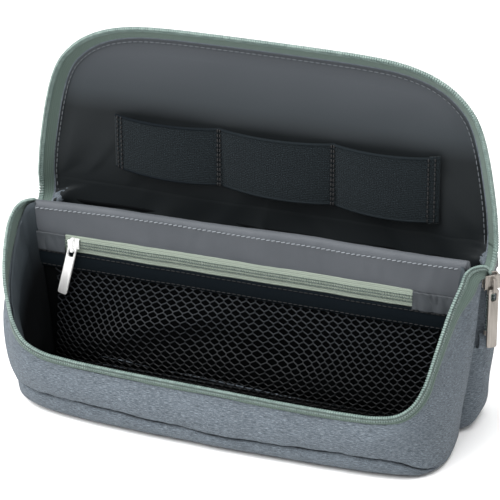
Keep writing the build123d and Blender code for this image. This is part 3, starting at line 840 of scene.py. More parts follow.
def make_divider():
    """The band folded over the divider, its ends and stitches, and both faces below it."""
    half = DIVIDER_HALF
    x = np.linspace(-DIVIDER_LEFT, half + 3.0, 260)
    top = divider_top(x)
    section = [(-1.7, BAND_LOW - 1.9), (-2.1, BAND_LOW + 1.5), (-2.2, 83.0), (-2.3, 87.0), (-2.25, None),
               (-1.3, None), (0.1, None), (1.5, None), (2.3, None), (2.4, 84.0), (2.2, 76.0), (2.0, 66.0)]
    below_top = {4: 2.4, 5: 0.6, 6: 0.0, 7: 0.7, 8: 2.8}
    rows = []
    for i, (y, z) in enumerate(section):
        rows.append(on_face(x, y, top - below_top[i] if z is None else z))
    rows = smooth_rows(np.array(rows), 44)
    puckers = wave(rows * [1, 0.2, 0.25], 4.2, 14, 0.22)
    rows[..., 1] += puckers * np.sign(rows[..., 1])
    band = cloth("divider_top_cloth", rows, LINING, thick=0.5, offset=0.0)
    belongs(band, "pouch", "lining_fabric", "divider_top_band")
    ends = []
    for side in (-1, 1):
        end = np.array([row[-1 if side > 0 else 0] for row in rows])
        middle = end.mean(axis=0) + [side * 0.8, 0, 0]
        between = end * 0.5 + middle * 0.5 + [side * 0.4, 0, 0]
        cap = np.array([end, between, np.repeat(middle[None], len(end), 0)])
        ends.append(cloth(f"divider_end_{'left' if side < 0 else 'right'}", cap, LINING, thick=0.4))
        belongs(ends[-1], "pouch", "lining_fabric")
    sew_x = np.linspace(-DIVIDER_LEFT + 1.5, half - 2.0, 300)
    sew_z = divider_top(sew_x) - 3.2 - 0.6 * sew_x / 90.0 - 0.5 * np.sin(sew_x / 23.0)
    sewn = on_face(sew_x, -2.55, sew_z)
    row = stitches("divider_stitches", sewn, FORWARD, THREAD_GREY, 2.5, 2.1, 0.55, slant=14)
    belongs(row, "pouch", "lining_fabric")

    back = face_rows(-DIVIDER_LEFT + 1, half - 1, 6.0, BAND_LOW, -0.5)
    inner = cloth("divider_lining_cloth", back, LINING_DARK, thick=0.8, offset=0.0)
    belongs(inner, "pouch", "lining_fabric", "divider_lining")
    rear = face_rows(-DIVIDER_LEFT + 1, half - 1, 6.0, BAND_LOW, 1.4)
    board = cloth("divider_back_cloth", rear, LINING_DARK, thick=0.5, offset=0.0)
    belongs(board, "pouch", "lining_fabric", "divider_board")


def smooth_rows(rows, count):
    """More rows, on a smooth line down each column."""
    columns = [smooth(rows[:, j], count) for j in range(rows.shape[1])]
    return np.stack(columns, axis=1)


ZIP_LEFT, ZIP_RIGHT = TAPE_LOW[0], TAPE_HIGH[0] + 2.6
COIL_STEP = 0.62             # from one tooth of the pocket's coil to the next
SEWN_Y = FACE_Y - 1.15       # where thread lies on the pocket's edge


def make_pocket_tapes():
    """Both tapes of the pocket's zipper, with rounded ends."""
    x = np.linspace(ZIP_LEFT, ZIP_RIGHT, 260)
    ends = np.clip(np.minimum(x - ZIP_LEFT, ZIP_RIGHT - x) / 1.6, 0, 1)
    rounding = 1.3 * (1 - np.sqrt(1 - (1 - ends) ** 2))
    tapes = []
    for name, sign in (("upper", 1), ("lower", -1)):
        middle = POCKET_Z + sign * 0.15
        uneven = wave(np.column_stack([x, 0 * x, 0 * x]), 30.0, 90 + sign, 0.45)
        outer = POCKET_Z + sign * (4.55 + uneven - rounding)
        share = np.linspace(0, 1, 9)[:, None]
        height = middle + (outer - middle)[None] * share
        grid_x = np.repeat(x[None], 9, axis=0)
        hump = 0.35 * np.sin(np.clip(share * 2.2, 0, 1) * math.pi)
        rows = on_face(grid_x, FACE_Y - 0.5 - hump, height)[::sign]
        tape = cloth(f"pocket_tape_{name}_cloth", rows, TAPE_PALE, thick=0.6, offset=0.0)
        tapes.append(belongs(tape, "pouch", "zip_tape", f"pocket_tape_{name}"))
    return tapes


def make_pocket_coil():
    """The pocket's closed coil, tooth by tooth, and the lines that it is sewn on with."""
    origins, axes = [], []
    for i, at in enumerate(np.arange(ZIP_LEFT + 1.2, ZIP_RIGHT - 1.0, COIL_STEP)):
        side = 1 if i % 2 else -1
        origins.append(on_face(np.array(at), FACE_Y - 0.75, POCKET_Z + side * 0.5))
        axes.append(((0.97, 0, 0.24 * side), (0, -1, 0), (-0.24 * side, 0, 0.97)))
    teeth = scatter("pocket_coil_teeth", BEAD, origins, axes, (0.72, 1.1, 1.5), COIL_PALE)
    belongs(teeth, "pouch", "zip_coil", "pocket_coil")
    for side in (-1, 0, 1):
        line = on_face(np.linspace(ZIP_LEFT + 1, ZIP_RIGHT - 1, 240), SEWN_Y, POCKET_Z + side * 1.6)
        sewn = stitches(f"pocket_coil_sewing_{side + 2}", line, FORWARD, THREAD_DEEP_SAGE, 1.5, 1.25, 0.5)
        belongs(sewn, "pouch", "zip_tape")


def make_pocket_tabs():
    """The creased cloth over each end of the pocket's zipper."""
    spans = {"left": (-DIVIDER_LEFT + 0.6, ZIP_LEFT + 0.6), "right": (ZIP_RIGHT - 0.6, DIVIDER_HALF - 1.5)}
    tabs = []
    for name, (a, b) in spans.items():
        rows = face_rows(a, b, TAPE_LOW[2] - 0.8, BAND_LOW - 0.9, FACE_Y - 0.85, columns=60, count=14)
        rows[..., 1] -= np.abs(wave(rows * [1, 0, 0.4] + rows[..., [2, 1, 0]] * [0.3, 0, 0], 4.2, 17, 1.3))
        tab = cloth(f"pocket_end_{name}", rows, LINING_TAB_PAINTED_SHADE, thick=0.6, offset=0.0)
        tabs.append(belongs(tab, "pouch", "lining_fabric", "pocket_end_tabs"))
    return tabs


def make_pocket_front():
    """The pocket's zipper with its tabs, and under it the binding that the net hangs from."""
    narrow = make_pocket_tapes()
    make_pocket_coil()
    narrow += make_pocket_tabs()
    high = TAPE_LOW[2] - 0.1
    rows = face_rows(-DIVIDER_LEFT + 1.0, DIVIDER_HALF - 1.0, MESH_TOP, high, FACE_Y - 0.5, columns=240)
    rows[..., 1] -= 0.5 * np.sin(np.linspace(0, math.pi, 12))[:, None]
    binding = cloth("mesh_binding", rows, BINDING, thick=0.8, offset=0.0)
    belongs(binding, "pouch", "lining_fabric", "mesh_band")
    for z in (MESH_TOP + 1.2, high - 1.2):
        line = on_face(np.linspace(-DIVIDER_LEFT + 2, DIVIDER_HALF - 2, 240), SEWN_Y, z)
        row = stitches(f"mesh_binding_stitches_{int(z)}", line, FORWARD, THREAD_DARK, 2.6, 2.0, 0.4)
        belongs(row, "pouch", "lining_fabric")


MESH_CELL = (4.66, 2.62)     # width of a hole, and the rise from one row of holes to the next
MESH_PROFILE = [(-1.6, MESH_TOP + 0.6), (-2.4, 51.0), (-4.0, 44.0), (-8.0, 34.0), (-11.4, 24.0),
                (-12.0, 16.0), (-10.2, 8.6)]


def mesh_place(u, v):
    """Where the net's flat pattern, u across and v down from the binding, hangs in the pocket."""
    lines = smooth(np.array([(0.0, y, z) for y, z in MESH_PROFILE]), 200)
    run = lengths_along(lines)
    y = np.interp(v, run, lines[:, 1])
    z = np.interp(v, run, lines[:, 2])
    half = DIVIDER_HALF - 5.5
    full = np.clip(1 - (np.abs(u) / half) ** 6, 0, 1)
    hang = np.sin(np.clip(v / run[-1], 0, 1) * math.pi)
    points = np.stack([u, v, np.zeros_like(u)], axis=-1)
    slack = wave(points * [1, 0.6, 1], 26.0, 51, 2.6) + wave(points * [0.5, 1.6, 1], 17.0, 55, 1.6)
    fold = np.exp(-(((u + 58) * 0.42 + (v - 30)) / 7.0) ** 2) * np.clip((18 - u) / 50, 0, 1)
    y = -0.9 + (y + 0.9) * (0.25 + 0.75 * full) - (slack + 3.4 * fold) * hang * full
    shear = hang * (3.0 * np.sin(u / 24.0) + wave(points, 34.0, 57, 3.0))
    return np.stack([u + shear, y, z + (slack * 0.4 + 2.2 * fold) * hang], axis=-1)


def make_mesh():
    """The net, as yarn round rows of six-sided holes."""
    work = bmesh.new()
    wide, rise = MESH_CELL
    half = DIVIDER_HALF - 5.0
    depth = 60.0
    found = {}

    def corner(u, v):
        key = (round(u * 50), round(v * 50))
        if key not in found:
            found[key] = work.verts.new((u, v, 0))
        return found[key]

    for row in range(int(depth / rise)):
        for column in range(int(2 * half / wide)):
            u = -half + (column + 0.5 + 0.5 * (row % 2)) * wide
            v = 0.4 + (row + 0.5) * rise
            if u + wide > half or v + rise > depth:
                continue
            steps = ((0, -0.78), (0.5, -0.22), (0.5, 0.22), (0, 0.78), (-0.5, 0.22), (-0.5, -0.22))
            work.faces.new([corner(u + du * wide, v + dv * rise) for du, dv in steps])
    flat = np.array([v.co for v in work.verts])
    placed = (mesh_place(flat[:, 0], flat[:, 1]) + [0, DIVIDER_Y, 0]) * MM
    for vert, co in zip(work.verts, placed):
        vert.co = co
    bmesh.ops.recalc_face_normals(work, faces=work.faces[:])
    bmesh.ops.wireframe(work, faces=work.faces[:], thickness=0.95 * MM, use_replace=True, use_boundary=True,
                        use_even_offset=False)
    mesh = bpy.data.meshes.new("mesh_net")
    work.to_mesh(mesh)
    work.free()
    mesh.polygons.foreach_set("use_smooth", [True] * len(mesh.polygons))
    mesh.materials.append(NET_PAINTED_SHADE)
    net = bpy.data.objects.new("mesh_net", mesh)
    bpy.context.scene.collection.objects.link(net)
    belongs(net, "pouch", "mesh", "mesh_pocket")


# ---- the lid -----------------------------------------------------------------------------------------------
PANEL_Y = HINGE[1] + 6.0            # the front of the lid's lining, behind its chain
SHELL_Y = PANEL_Y + 3.5
SHELL_LIFT = 1.9                    # the shell's stand-off from the lining at the seam
SPLIT_Z = 94.0                      # the lower and upper pieces of the lid meet here
TAPE_RUN = 8.5                      # the lid's zipper tape, from its seam to its coil
# The coil's line, right half, from the slider up and over to the middle.
RIGHT_LID = [
    (120.3, 6.6, 86.6), (120.2, 9.6, 87.2), (120.0, 13.2, 89.0), (119.7, 16.4, 92.6), (119.3, 18.0, 97.5),
    (118.8, 18.0, 104.0), (118.0, 18.0, 112.0), (116.0, 18.0, 125.0), (113.5, 18.0, 138.0),
    (110.2, 18.1, 150.0), (106.4, 18.2, 158.4), (101.4, 18.3, 164.8), (95.0, 18.5, 170.4),
    (87.0, 18.8, 174.9), (77.6, 19.0, 178.2), (66.0, 19.2, 180.4), (50.0, 19.3, 181.5), (28.0, 19.3, 181.9),
]
# On the left it goes straight down behind the rim.
LEFT_LID = [(116.8, 8.0, 83.0), (117.6, 12.0, 83.6), (118.4, 15.6, 85.6), (118.9, 17.6, 89.4)] + RIGHT_LID[4:]
LID_LINE = smooth(np.vstack([mirrored(LEFT_LID)[::-1], [(0.0, 19.3, 182.0)], RIGHT_LID[::-1]]), 361)


def lid_edge(coil):
    """The seam where the tape is sewn between the lid's shell and lining."""
    along = tangents(coil)
    outward = unit(np.column_stack([-along[:, 2], np.zeros(len(coil)), along[:, 0]]))
    topness = np.clip(outward[:, 2], 0, 1)
    tilt = np.radians(45 - 5 * topness)[:, None]
    outward[:, 2] = np.where(coil[:, 2] < 100, 0.0, outward[:, 2])
    return coil - unit(outward) * TAPE_RUN * np.cos(tilt) + np.array([0, 1.0, 0]) * TAPE_RUN * np.sin(tilt)


LID_EDGE = lid_edge(LID_LINE)
LID_EDGE[:, 1] = np.minimum(LID_EDGE[:, 1], PANEL_Y)
LID_COIL = LID_LINE - unit(LID_LINE - LID_EDGE) * 1.7


LID_COLUMNS = 150


def lid_rows(z_low, z_high, count):
    """A level-rowed grid (x, z) that fills the lid's seam outline between two heights."""
    right = LID_EDGE[len(LID_EDGE) // 2:][::-1]
    corner = right[:np.argmax(right[:, 0] < 62.0)]
    foot = np.array([(right[0, 0], 0, 60.0)])
    side = evenly(np.vstack([foot, corner]), 2000)
    side = side[(side[:, 2] >= z_low) & (side[:, 2] <= z_high)]
    picks = side[np.linspace(0, len(side) - 1, count).astype(int)]
    u = np.linspace(-1, 1, LID_COLUMNS)
    x = picks[:, :1] * u[None]
    z = np.repeat(picks[:, 2:], LID_COLUMNS, axis=1)
    if z_high > LID_TOP:
        top = np.interp(x[-1], LID_EDGE[:, 0], LID_EDGE[:, 2])
        z = z + (top - z[-1])[None] * (np.linspace(0, 1, count) ** 6)[:, None]
    return x, z


def seam_distance(x, z):
    """How far each point is from the lid's seam, and the seam's y there."""
    points = np.stack([x.ravel(), z.ravel()], axis=1)
    seam = LID_EDGE[::2]
    gap = np.linalg.norm(points[:, None] - seam[None][:, :, [0, 2]], axis=2)
    near = gap.argmin(axis=1)
    return gap.min(axis=1).reshape(x.shape), seam[near, 1].reshape(x.shape)


def lid_lining_folds(x, z):
    """Soft diagonal creases in the lid's lower corners, where the lining bunches at the hinge."""
    low = np.clip((146 - z) / 46, 0, 1) ** 1.3
    side = 0.25 + 0.75 * np.clip((np.abs(x) - 46) / 36, 0, 1)
    lean = np.where(x > 0, 0.75, -0.75)
    points = np.stack([(x + lean * z) * 0.55, np.zeros_like(x), (z - lean * x) * 0.12], axis=-1)
    return low * side * np.maximum(wave(points, 9.0, 61, 3.4) + wave(points, 19.0, 63, 3.6), -0.6)


def lid_lining(z_low, z_high, count):
    """The lid's lining between two heights, held at its seam and full in the middle."""
    x, z = lid_rows(z_low, z_high, count)
    far, seam_y = seam_distance(x, z)
    y = PANEL_Y - (PANEL_Y - seam_y) * np.exp(-far / 4.0)
    points = np.stack([x, np.zeros_like(x), z], axis=-1)
    held = np.clip(far / 9.0, 0, 1)
    bulge = lining_bulge(x, z) - 0.6
    y = y - held * (bulge + wave(points, 34.0, 71, 0.7) + wave(points * [0.6, 1, 1.5], 13.0, 73, 0.22))
    y = y - held * lid_lining_folds(x, z)
    return np.stack([x, y, z], axis=-1)


def lid_shell(z_low, z_high, count):
    """The lid's outer fabric between two heights."""
    x, z = lid_rows(z_low, z_high, count)
    far, seam_y = seam_distance(x, z)
    full = 1 - np.exp(-(far / 4.5) ** 1.2)
    y = seam_y + SHELL_LIFT + (SHELL_Y - seam_y - SHELL_LIFT) * full
    points = np.stack([x, np.zeros_like(x), z], axis=-1)
    held = np.clip(far / 9.0, 0, 1)
    return np.stack([x, y + held * (wave(points, 30.0, 81, 0.6) + wave(points, 11.0, 83, 0.16)), z], axis=-1)


def sewn_part(line, lower):
    """The stretches of a line over the whole lid that belong to its lower or its upper pieces."""
    mask = line[:, 2] <= SPLIT_Z + 0.6 if lower else line[:, 2] >= SPLIT_Z - 0.6
    breaks = np.flatnonzero(np.diff(mask.astype(int))) + 1
    runs = np.split(np.arange(len(line)), breaks)
    return [run for run in runs if mask[run[0]] and len(run) > 3]


def bend_with_lid(pieces, lower):
    """Bakes each piece's placement into its mesh. lower is not used."""
    for piece in pieces:
        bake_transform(piece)


def make_lid_zipper(name, lower):
    """The lid's open chain, its lining stitches and its creased seam, in one part of the lid."""
    pieces = []
    for i, run in enumerate(sewn_part(LID_COIL, lower), start=1):
        pieces += chain_half(f"{name}_chain_{i}", LID_COIL[run], LID_EDGE[run], None, -1.0)
        seam = LID_EDGE[run] + (LID_EDGE[run] - LID_COIL[run]) * 0.36
        seam[:, 1] = PANEL_Y - 0.55
        row = stitches(f"{name}_lining_stitches_{i}", seam, FORWARD, THREAD_FAINT, 2.9, 2.1, 0.42)
        crease = tube(f"{name}_seam_{i}", LID_EDGE[run] + [0, 0.5, 0], 0.7, HEATHER)
        pieces += [row, crease]
    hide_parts(f"{name}_coil")
    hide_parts(f"{name}_tape")
    return pieces


LID_PARTS = [  # lower, name, its heights, rows, and its lining's flat width, length and area
    (True, "lid_fold", 79.0, SPLIT_Z, 16, (238, 20, 4110)),
    (False, "lid", SPLIT_Z, LID_TOP + 9, 110, (228, 108, 16950)),
]


def make_lid():
    """The lid in two parts, which meet at the fold, then its hinge and its strap."""
    for lower, name, z_low, z_high, count, (width, length, area) in LID_PARTS:
        inside = lid_lining(z_low, z_high + (2.5 if lower else 0.0), count)
        if lower:
            inside[inside[..., 2] > SPLIT_Z, 1] += 0.35
        # start sets V to the height above 44 mm in units of 100 mm. The lining's painted shade is read from
        # its ramp at that V.
        lining = cloth(f"{name}_lining_cloth", inside, LINING_LID_PAINTED_SHADE, thick=0, start=(z_low - 44.0) / 100)
        shell = cloth(f"{name}_shell_cloth", lid_shell(z_low, z_high, count), HEATHER, thick=1.1, offset=1.0)
        belongs(lining, None, "lining_fabric", f"{name}_lining")
        belongs(shell, None, "outer_fabric", f"{name}_shell", f"{name}_pad")
        zipper = make_lid_zipper(name, lower)
        bend_with_lid([lining, shell] + zipper, lower)
    for side in (-1, 1):
        make_hinge_web(side)
    make_hinge_fold()
    make_strap()


def make_hinge_web(side):
    """The soft corner between the rear lobe's top edge and the foot of the lid."""
    edge = LID_EDGE[:60] if side < 0 else LID_EDGE[::-1][:60]
    top = evenly(edge[edge[:, 2] < 98.0], 24)
    foot = np.array([(side * 118.2, y, 81.0) for y in np.linspace(5.5, 26.5, 24)])
    out = np.array([side * 1.0, 0, 0])
    rows = []
    for v in np.linspace(0, 1, 10):
        rows.append(foot * (1 - v) + top * v + out * math.sin(math.pi * v) * 1.6)
    name = "lid_web_left" if side < 0 else "lid_web_right"
    web = cloth(name, np.array(rows), LINING_TAB_PAINTED_SHADE, thick=0)
    bend_with_lid([web], True)


def make_hinge_fold():
    """The fold of outer fabric at the back, from the rear lobe's top edge up to the lid's shell."""
    loop = rounded_loop(118.4, 2.5, 28.8, 9.0, 900)
    foot = evenly(loop[loop[:, 1] > 21.0], 220) + [0, 0, 79.5]
    back = SHELL_Y + 1.35
    corner = [(117.2, 22.0, 84.0), (117.4, 25.5, 85.0), (116.6, back, 86.0), (108.0, back, 86.8)]
    top = evenly(np.vstack([corner, mirrored(corner)]), 220)
    rows = [foot * (1 - v) + top * v + [0, 0.5 * math.sin(math.pi * v), 0] for v in np.linspace(0, 1, 10)]
    fold = cloth("lid_hinge_fold", np.array(rows), HEATHER, thick=0.9, offset=0.0)
    bend_with_lid([fold], True)


STRAP_SEAMS = (-77.5, -22.5, 36.0, 88.5)


def lining_bulge(x, z):
    """How far the lid's padded lining stands forward behind the strap."""
    return 1.4 * np.exp(-((z - 138) / 30.0) ** 2) * np.clip(1 - (x / 112) ** 4, 0, 1) + 0.6


def strap_place(x, v):
    """A point of the strap: v runs from its lower edge, 0, to its upper one, 1."""
    low = np.interp(x, (STRAP_SEAMS[0], STRAP_SEAMS[-1]), (105.0, 101.0))
    high = np.interp(x, (STRAP_SEAMS[0], STRAP_SEAMS[-1]), (133.0, 134.6))
    part = np.clip(np.searchsorted(STRAP_SEAMS, x, "right") - 1, 0, 2)
    a, b = np.array(STRAP_SEAMS)[part], np.array(STRAP_SEAMS)[part + 1]
    u = np.clip((x - a) / (b - a), 0, 1)
    hump = np.sin(math.pi * u) ** 0.75
    rise = 0.7 + hump * (4.3 - 0.7 * v)
    dip = hump * (1.1 * (1 - v) + 0.9 * v)
    z = low + (high - low) * v - dip + 0.4
    back = lining_bulge(x, z)
    return np.stack([x, PANEL_Y - back - rise, z], axis=-1)


def make_strap():
    """The elastic strap, sewn down into three loops, with its selvages and a hem."""
    x, v = np.meshgrid(np.linspace(STRAP_SEAMS[0], STRAP_SEAMS[-1], 260), np.linspace(0, 1, 24))
    rows = strap_place(x, v)
    band = cloth("elastic_band", rows, ELASTIC, thick=1.1, offset=1.0)
    belongs(band, "lid_upper", "elastic", "elastic_strap")
    for v_edge, name in ((0.985, "top"), (0.015, "bottom")):
        edge_x = np.linspace(STRAP_SEAMS[0], STRAP_SEAMS[-1], 260)
        rim = tube(f"elastic_selvage_{name}", strap_place(edge_x, np.full(260, v_edge)) + [0, -0.7, 0], 0.75,
                   ELASTIC_EDGE)
        belongs(rim, "lid_upper", "elastic")
    v = np.linspace(0.03, 0.97, 40)
    for i, seam in enumerate(STRAP_SEAMS):
        shifts = (-0.6, 0.6) if 0 < i < 3 else (1.4, 3.6) if i == 0 else (-1.4, -4.4)
        for k, shift in enumerate(shifts):
            line = strap_place(np.full(40, seam + shift), v) + [0, -1.35, 0]
            line[:, 1] = line[:, 1].min() if 0 < i < 3 else line[:, 1]
            row = stitches(f"elastic_stitches_{i + 1}_{k + 1}", line, FORWARD, THREAD_DARK, 2.2, 1.7, 0.7)
            belongs(row, "lid_upper", "elastic")
    hem_x, hem_v = np.meshgrid(np.linspace(84.2, 89.3, 8), np.linspace(-0.02, 1.02, 24))
    hem_rows = strap_place(np.minimum(hem_x, STRAP_SEAMS[-1]), hem_v) + [0, -0.9, 0]
    hem_rows[..., 0] = hem_x
    hem = cloth("elastic_hem", hem_rows, ELASTIC, thick=0.9, offset=0.0)
    belongs(hem, "lid_upper", "elastic")


# ---- the chain's closed end, sliders and pullers -----------------------------------------------------------
def together(name, templates, origin, axes, material):
    """Joins templates into one piece, placed with its local x, y, z along the rows of axes."""
    verts, faces, start = [], [], 0
    for points, polygons in templates:
        verts.append(points)
        faces += [tuple(i + start for i in polygon) for polygon in polygons]
        start += len(points)
    world = np.asarray(origin, float) + np.vstack(verts) @ np.asarray(axes, float)
    return mesh_object(name, world, faces, material)


RING_COUNT = 96


def ring_rows(half_width, top, bottom, radius):
    """A rounded rectangle from (0, top) round to itself, at the same angles whatever its size."""
    x, y = half_width - radius, (top - bottom) / 2 - radius
    middle = (top + bottom) / 2
    bend = np.linspace(0, math.pi / 2, 8)
    quarter = [(x + radius * math.sin(a), y + radius * math.cos(a)) for a in bend]
    points = [(0, y + radius)] + quarter + [(px, -py) for px, py in quarter[::-1]]
    right = np.array(points + [(0, -y - radius)], float)
    left = (right * [-1, 1])[::-1][1:]
    loop = np.vstack([right, left])
    placed = np.column_stack([loop[:, 0], loop[:, 1] + middle, np.zeros(len(loop))])
    return evenly(placed, RING_COUNT + 1)[:-1]


def puller_template(width, top, bottom, thick, hole):
    """A flat tab with softened edges and a slot near its top. hole is (half width, top, bottom)."""
    half, edge = thick / 2, 0.28
    outer = ring_rows(width / 2, top, bottom, 0.9)
    inner = ring_rows(hole[0], hole[1], hole[2], hole[0] - 0.05)
    centre = outer.mean(axis=0)
    shrunk = centre + (outer - centre) * [1 - 2 * edge / width, 1 - 2 * edge / (top - bottom), 1]
    hole_centre = inner.mean(axis=0)
    grown = hole_centre + (inner - hole_centre) * [1 + edge / hole[0], 1 + 2 * edge / (hole[1] - hole[2]), 1]
    stack = [(grown, half), (shrunk, half), ((outer + shrunk) / 2, half - 0.08), (outer, half - edge),
             (outer, edge - half), ((outer + shrunk) / 2, 0.08 - half), (shrunk, -half), (grown, -half),
             ((inner + grown) / 2, 0.08 - half), (inner, edge - half), (inner, half - edge),
             ((inner + grown) / 2, half - 0.08)]
    rows = np.array([loop + [0, 0, z] for loop, z in stack])
    r, c = rows.shape[:2]
    faces = []
    for i in range(r):
        for j in range(c):
            near, far, k = i * c, ((i + 1) % r) * c, (j + 1) % c
            faces.append((near + j, far + j, far + k, near + k))
    return rows.reshape(-1, 3), faces


def slider_templates(length, width, both_sides):
    """Local x across the chain, y along it, z outwards."""
    levels = (1, -1) if both_sides else (1,)
    parts = []
    for level in levels:
        parts.append(block((width, length * 0.72, 1.0), (0, length * 0.10, level * 1.9), 0.45))
        parts.append(block((width * 0.66, length * 0.5, 1.0), (0, -length * 0.26, level * 1.9), 0.45))
        for side in (-1, 1):
            flank = (side * (width / 2 - 0.45), length * 0.1, level * 1.4)
            parts.append(block((0.9, length * 0.7, 1.5), flank, 0.3))
    return parts


BRIDGE_CROWN = 2.4


def bridge_templates():
    """The raised loop that holds the puller."""
    parts = [block((1.7, 1.3, 2.3), (0, side * 2.9, BRIDGE_CROWN + 0.8), 0.35) for side in (-1, 1)]
    parts.append(block((1.7, 7.0, 0.95), (0, 0, BRIDGE_CROWN + 2.35), 0.4))
    return parts


def make_slider(prefix, pivot, across, up, chain_turn, lift, width, length, metal, both_sides):
    """A slider behind its puller's pivot, and lift above it. The puller, which hangs down from the pivot, is
    made in make_pullers.
    """
    depth = 3.3
    outward = np.cross(across, up)
    middle = pivot - outward * depth + np.array(up) * lift
    axes = np.array([across, up, outward])
    chain_axes = axes if not chain_turn else np.array([-np.array(up), across, outward])
    templates = slider_templates(length, width, both_sides)
    plates = together(f"{prefix}_slider_body", templates, middle, chain_axes, metal)
    belongs(plates, f"{prefix}_slider", "metal", f"{prefix}_slider")
    bridge = together(f"{prefix}_slider_bridge", bridge_templates(), middle, axes, metal)
    belongs(bridge, f"{prefix}_slider", "metal")


POCKET_LEAN = math.radians(14)       # the pocket's puller hangs a little to one side


def make_pullers():
    """Both sliders, and the pullers that hang from them."""
    up = np.array([0, 0, 1.0])
    across = unit(MAIN_ACROSS)
    make_slider("main", MAIN_PIVOT, across, up, False, 3.0, 8.0, 10.0, NICKEL, True)
    # The pocket's slider and puller take the nickel with a painted highlight.
    make_slider("pocket", POCKET_PIVOT, np.array([1.0, 0, 0]), up, True, 1.6, 5.4, 6.4, NICKEL_PAINTED_HIGHLIGHT, False)
    for prefix, pivot, side, metal, long, wide, lean in (
        ("main", MAIN_PIVOT, across, NICKEL, 30.5, 5.2, 0.0),
        ("pocket", POCKET_PIVOT, np.array([1.0, 0, 0]), NICKEL_PAINTED_HIGHLIGHT, 27.6, 4.8, POCKET_LEAN),
    ):
        out = np.cross(side, up)
        tab = puller_template(wide, 0.8, 0.8 - long, 1.5, (1.35, -0.75, -5.4))
        hang = up * math.cos(lean) + side * math.sin(lean)
        axes = np.array([np.cross(hang, out), hang, out])
        piece = together(f"{prefix}_puller_tab", [tab], pivot + out * 0.05, axes, metal)
        belongs(piece, f"{prefix}_puller", "metal", f"{prefix}_puller")


TAIL_MIDDLE = MAIN_PIVOT * [1, 1, 0] - np.cross(unit(MAIN_ACROSS), [0, 0, 1.0]) * 3.4
TAIL_LOW = place_of(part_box("tail_coil")[0])[2]
TAIL_HIGH = place_of(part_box("tail_coil")[1])[2]


def tail_point(across, z, out=0.0):
    """A point over the chain's closed end: across it, at a height, and out from it."""
    side = unit(MAIN_ACROSS)
    outward = np.cross(side, [0, 0, 1.0])
    return TAIL_MIDDLE + side * across + outward * out + np.array([0, 0, 1.0]) * z


def make_tail():
    """The closed end of the chain, its stop, and the fabric tab that covers it."""
    side = unit(MAIN_ACROSS)
    outward = np.cross(side, [0, 0, 1.0])
    for k, sign in enumerate((-1, 1)):
        rows = [[tail_point(sign * x, z, -0.25) for z in np.linspace(TAIL_LOW - 3.5, TAIL_HIGH + 1.0, 24)]
                for x in (0.9, 1.4, 1.9, 2.4)]
        tape = cloth(f"tail_tape_{k + 1}", np.array(rows), HEATHER, thick=0.7, offset=0.0)
        nodes = ("tail_tape",) if k == 0 else ()
        belongs(tape, "pouch", "zip_tape", *nodes)
    origins, axes = [], []
    for i, z in enumerate(np.arange(TAIL_LOW, TAIL_HIGH, 0.75)):
        sign = 1 if i % 2 else -1
        origins.append(tail_point(sign * 0.8, z, 0.35))
        axes.append((side, [0, 0, 1.0], outward))
    teeth = scatter("tail_teeth", BEAD, origins, np.array(axes), (2.6, 0.8, 1.8), COIL)
    belongs(teeth, "pouch", "zip_coil", "tail_coil")
    stop = together("tail_stop", [block((5.0, 2.6, 2.2), (0, 0, 0), 0.5)], tail_point(0, TAIL_LOW - 1.3),
                    np.array([side, [0, 0, 1.0], outward]), NICKEL)
    belongs(stop, "pouch", "metal", "bottom_stop")
    low = place_of(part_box("tail_tab")[0])[2]
    high = place_of(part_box("tail_tab")[1])[2]
    rows = []
    for z, out in ((low, -3.6), (low + 0.6, -1.8), (low + 1.6, -0.9), (high - 1.6, -0.5), (high - 0.5, -0.6),
                   (high, -1.2)):
        rows.append([tail_point(x, z, out - 0.02 * x * x) for x in np.linspace(-4.4, 4.4, 24)])
    tab = cloth("tail_tab_cloth", smooth_rows(np.array(rows), 20), HEATHER, thick=1.2, offset=0.0)
    belongs(tab, "pouch", "outer_fabric", "tail_tab")


# ---- stage, lights and camera ------------------------------------------------------------------------------
FLOOR_HALF, FLOOR_Z = 2000.0, -0.2
LAMPS = [  # name, place in metres, size in metres, watts
    ("key", (-1.15, -1.0, 1.45), 1.9, 72.0),
    ("fill", (1.1, -0.9, 0.9), 1.2, 4.0),
    ("top", (0.3, -0.1, 1.9), 2.0, 42.0),
]


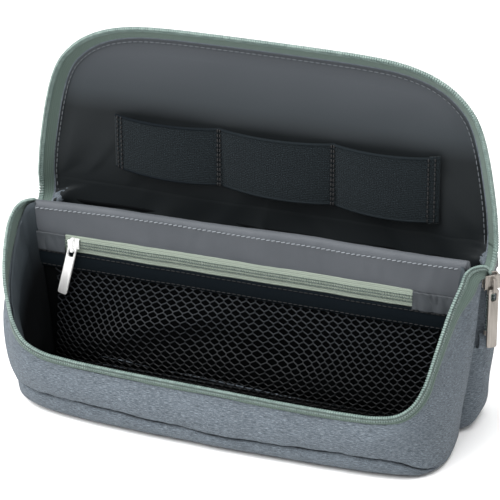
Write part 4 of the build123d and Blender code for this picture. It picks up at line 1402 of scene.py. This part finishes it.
def make_stage():
    """The floor, the even light of the surroundings, and the lamps."""
    corners = [(-1, -1), (1, -1), (1, 1), (-1, 1)]
    floor_verts = [(x * FLOOR_HALF, y * FLOOR_HALF, FLOOR_Z) for x, y in corners]
    s = Shader("floor", rough=0.9, specular=0.1)
    s.main.inputs["Base Color"].default_value = (0.92, 0.92, 0.92, 1.0)
    floor = mesh_object("floor", floor_verts, [(0, 1, 2, 3)], s.material)
    world = bpy.data.worlds.new("studio")
    world.use_nodes = True
    world.node_tree.nodes["Background"].inputs["Color"].default_value = (1.0, 1.0, 1.0, 1.0)
    world.node_tree.nodes["Background"].inputs["Strength"].default_value = 0.45
    bpy.context.scene.world = world
    for name, place, size, power in LAMPS:
        light = bpy.data.lights.new(name, "AREA")
        light.shape = "DISK"
        light.size = size
        light.energy = power
        lamp = bpy.data.objects.new(name, light)
        lamp.location = place
        lamp.rotation_euler = (Vector((0, 0, 0.08)) - Vector(place)).to_track_quat("-Z", "Y").to_euler()
        bpy.context.scene.collection.objects.link(lamp)
    bpy.context.scene.view_settings.view_transform = "Standard"


CAMERA_AZIMUTH, CAMERA_ELEVATION, CAMERA_DISTANCE = 20.7, 25.0, 1300.0
CAMERA_TARGET = (1.1, 0.0, 81.7)
CAMERA_LENS = 193.4


def make_camera():
    """The camera that looks at the open pouch from the front, right and above."""
    az, el = math.radians(CAMERA_AZIMUTH), math.radians(CAMERA_ELEVATION)
    look = Vector((-math.sin(az) * math.cos(el), math.cos(az) * math.cos(el), -math.sin(el)))
    target = (np.array(CAMERA_TARGET) + [0, DIVIDER_Y, 0]) * MM
    camera = bpy.data.objects.new("camera", bpy.data.cameras.new("camera"))
    camera.data.lens = CAMERA_LENS
    camera.data.clip_end = 20.0
    camera.location = Vector(target) - look * CAMERA_DISTANCE * MM
    camera.rotation_euler = look.to_track_quat("-Z", "Y").to_euler()
    bpy.context.scene.collection.objects.link(camera)
    bpy.context.scene.camera = camera


make_stage()
make_camera()
make_front_lobe()
rim_teeth, _, rim_tape, _, _ = chain_half("rim_chain", RIM_COIL, RIM_EDGE, "pouch", 1.0)
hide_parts("rim_coil")
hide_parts("rim_tape")
make_rear_lobe()
make_divider()
make_pocket_front()
make_mesh()
make_lid()
make_tail()
make_pullers()
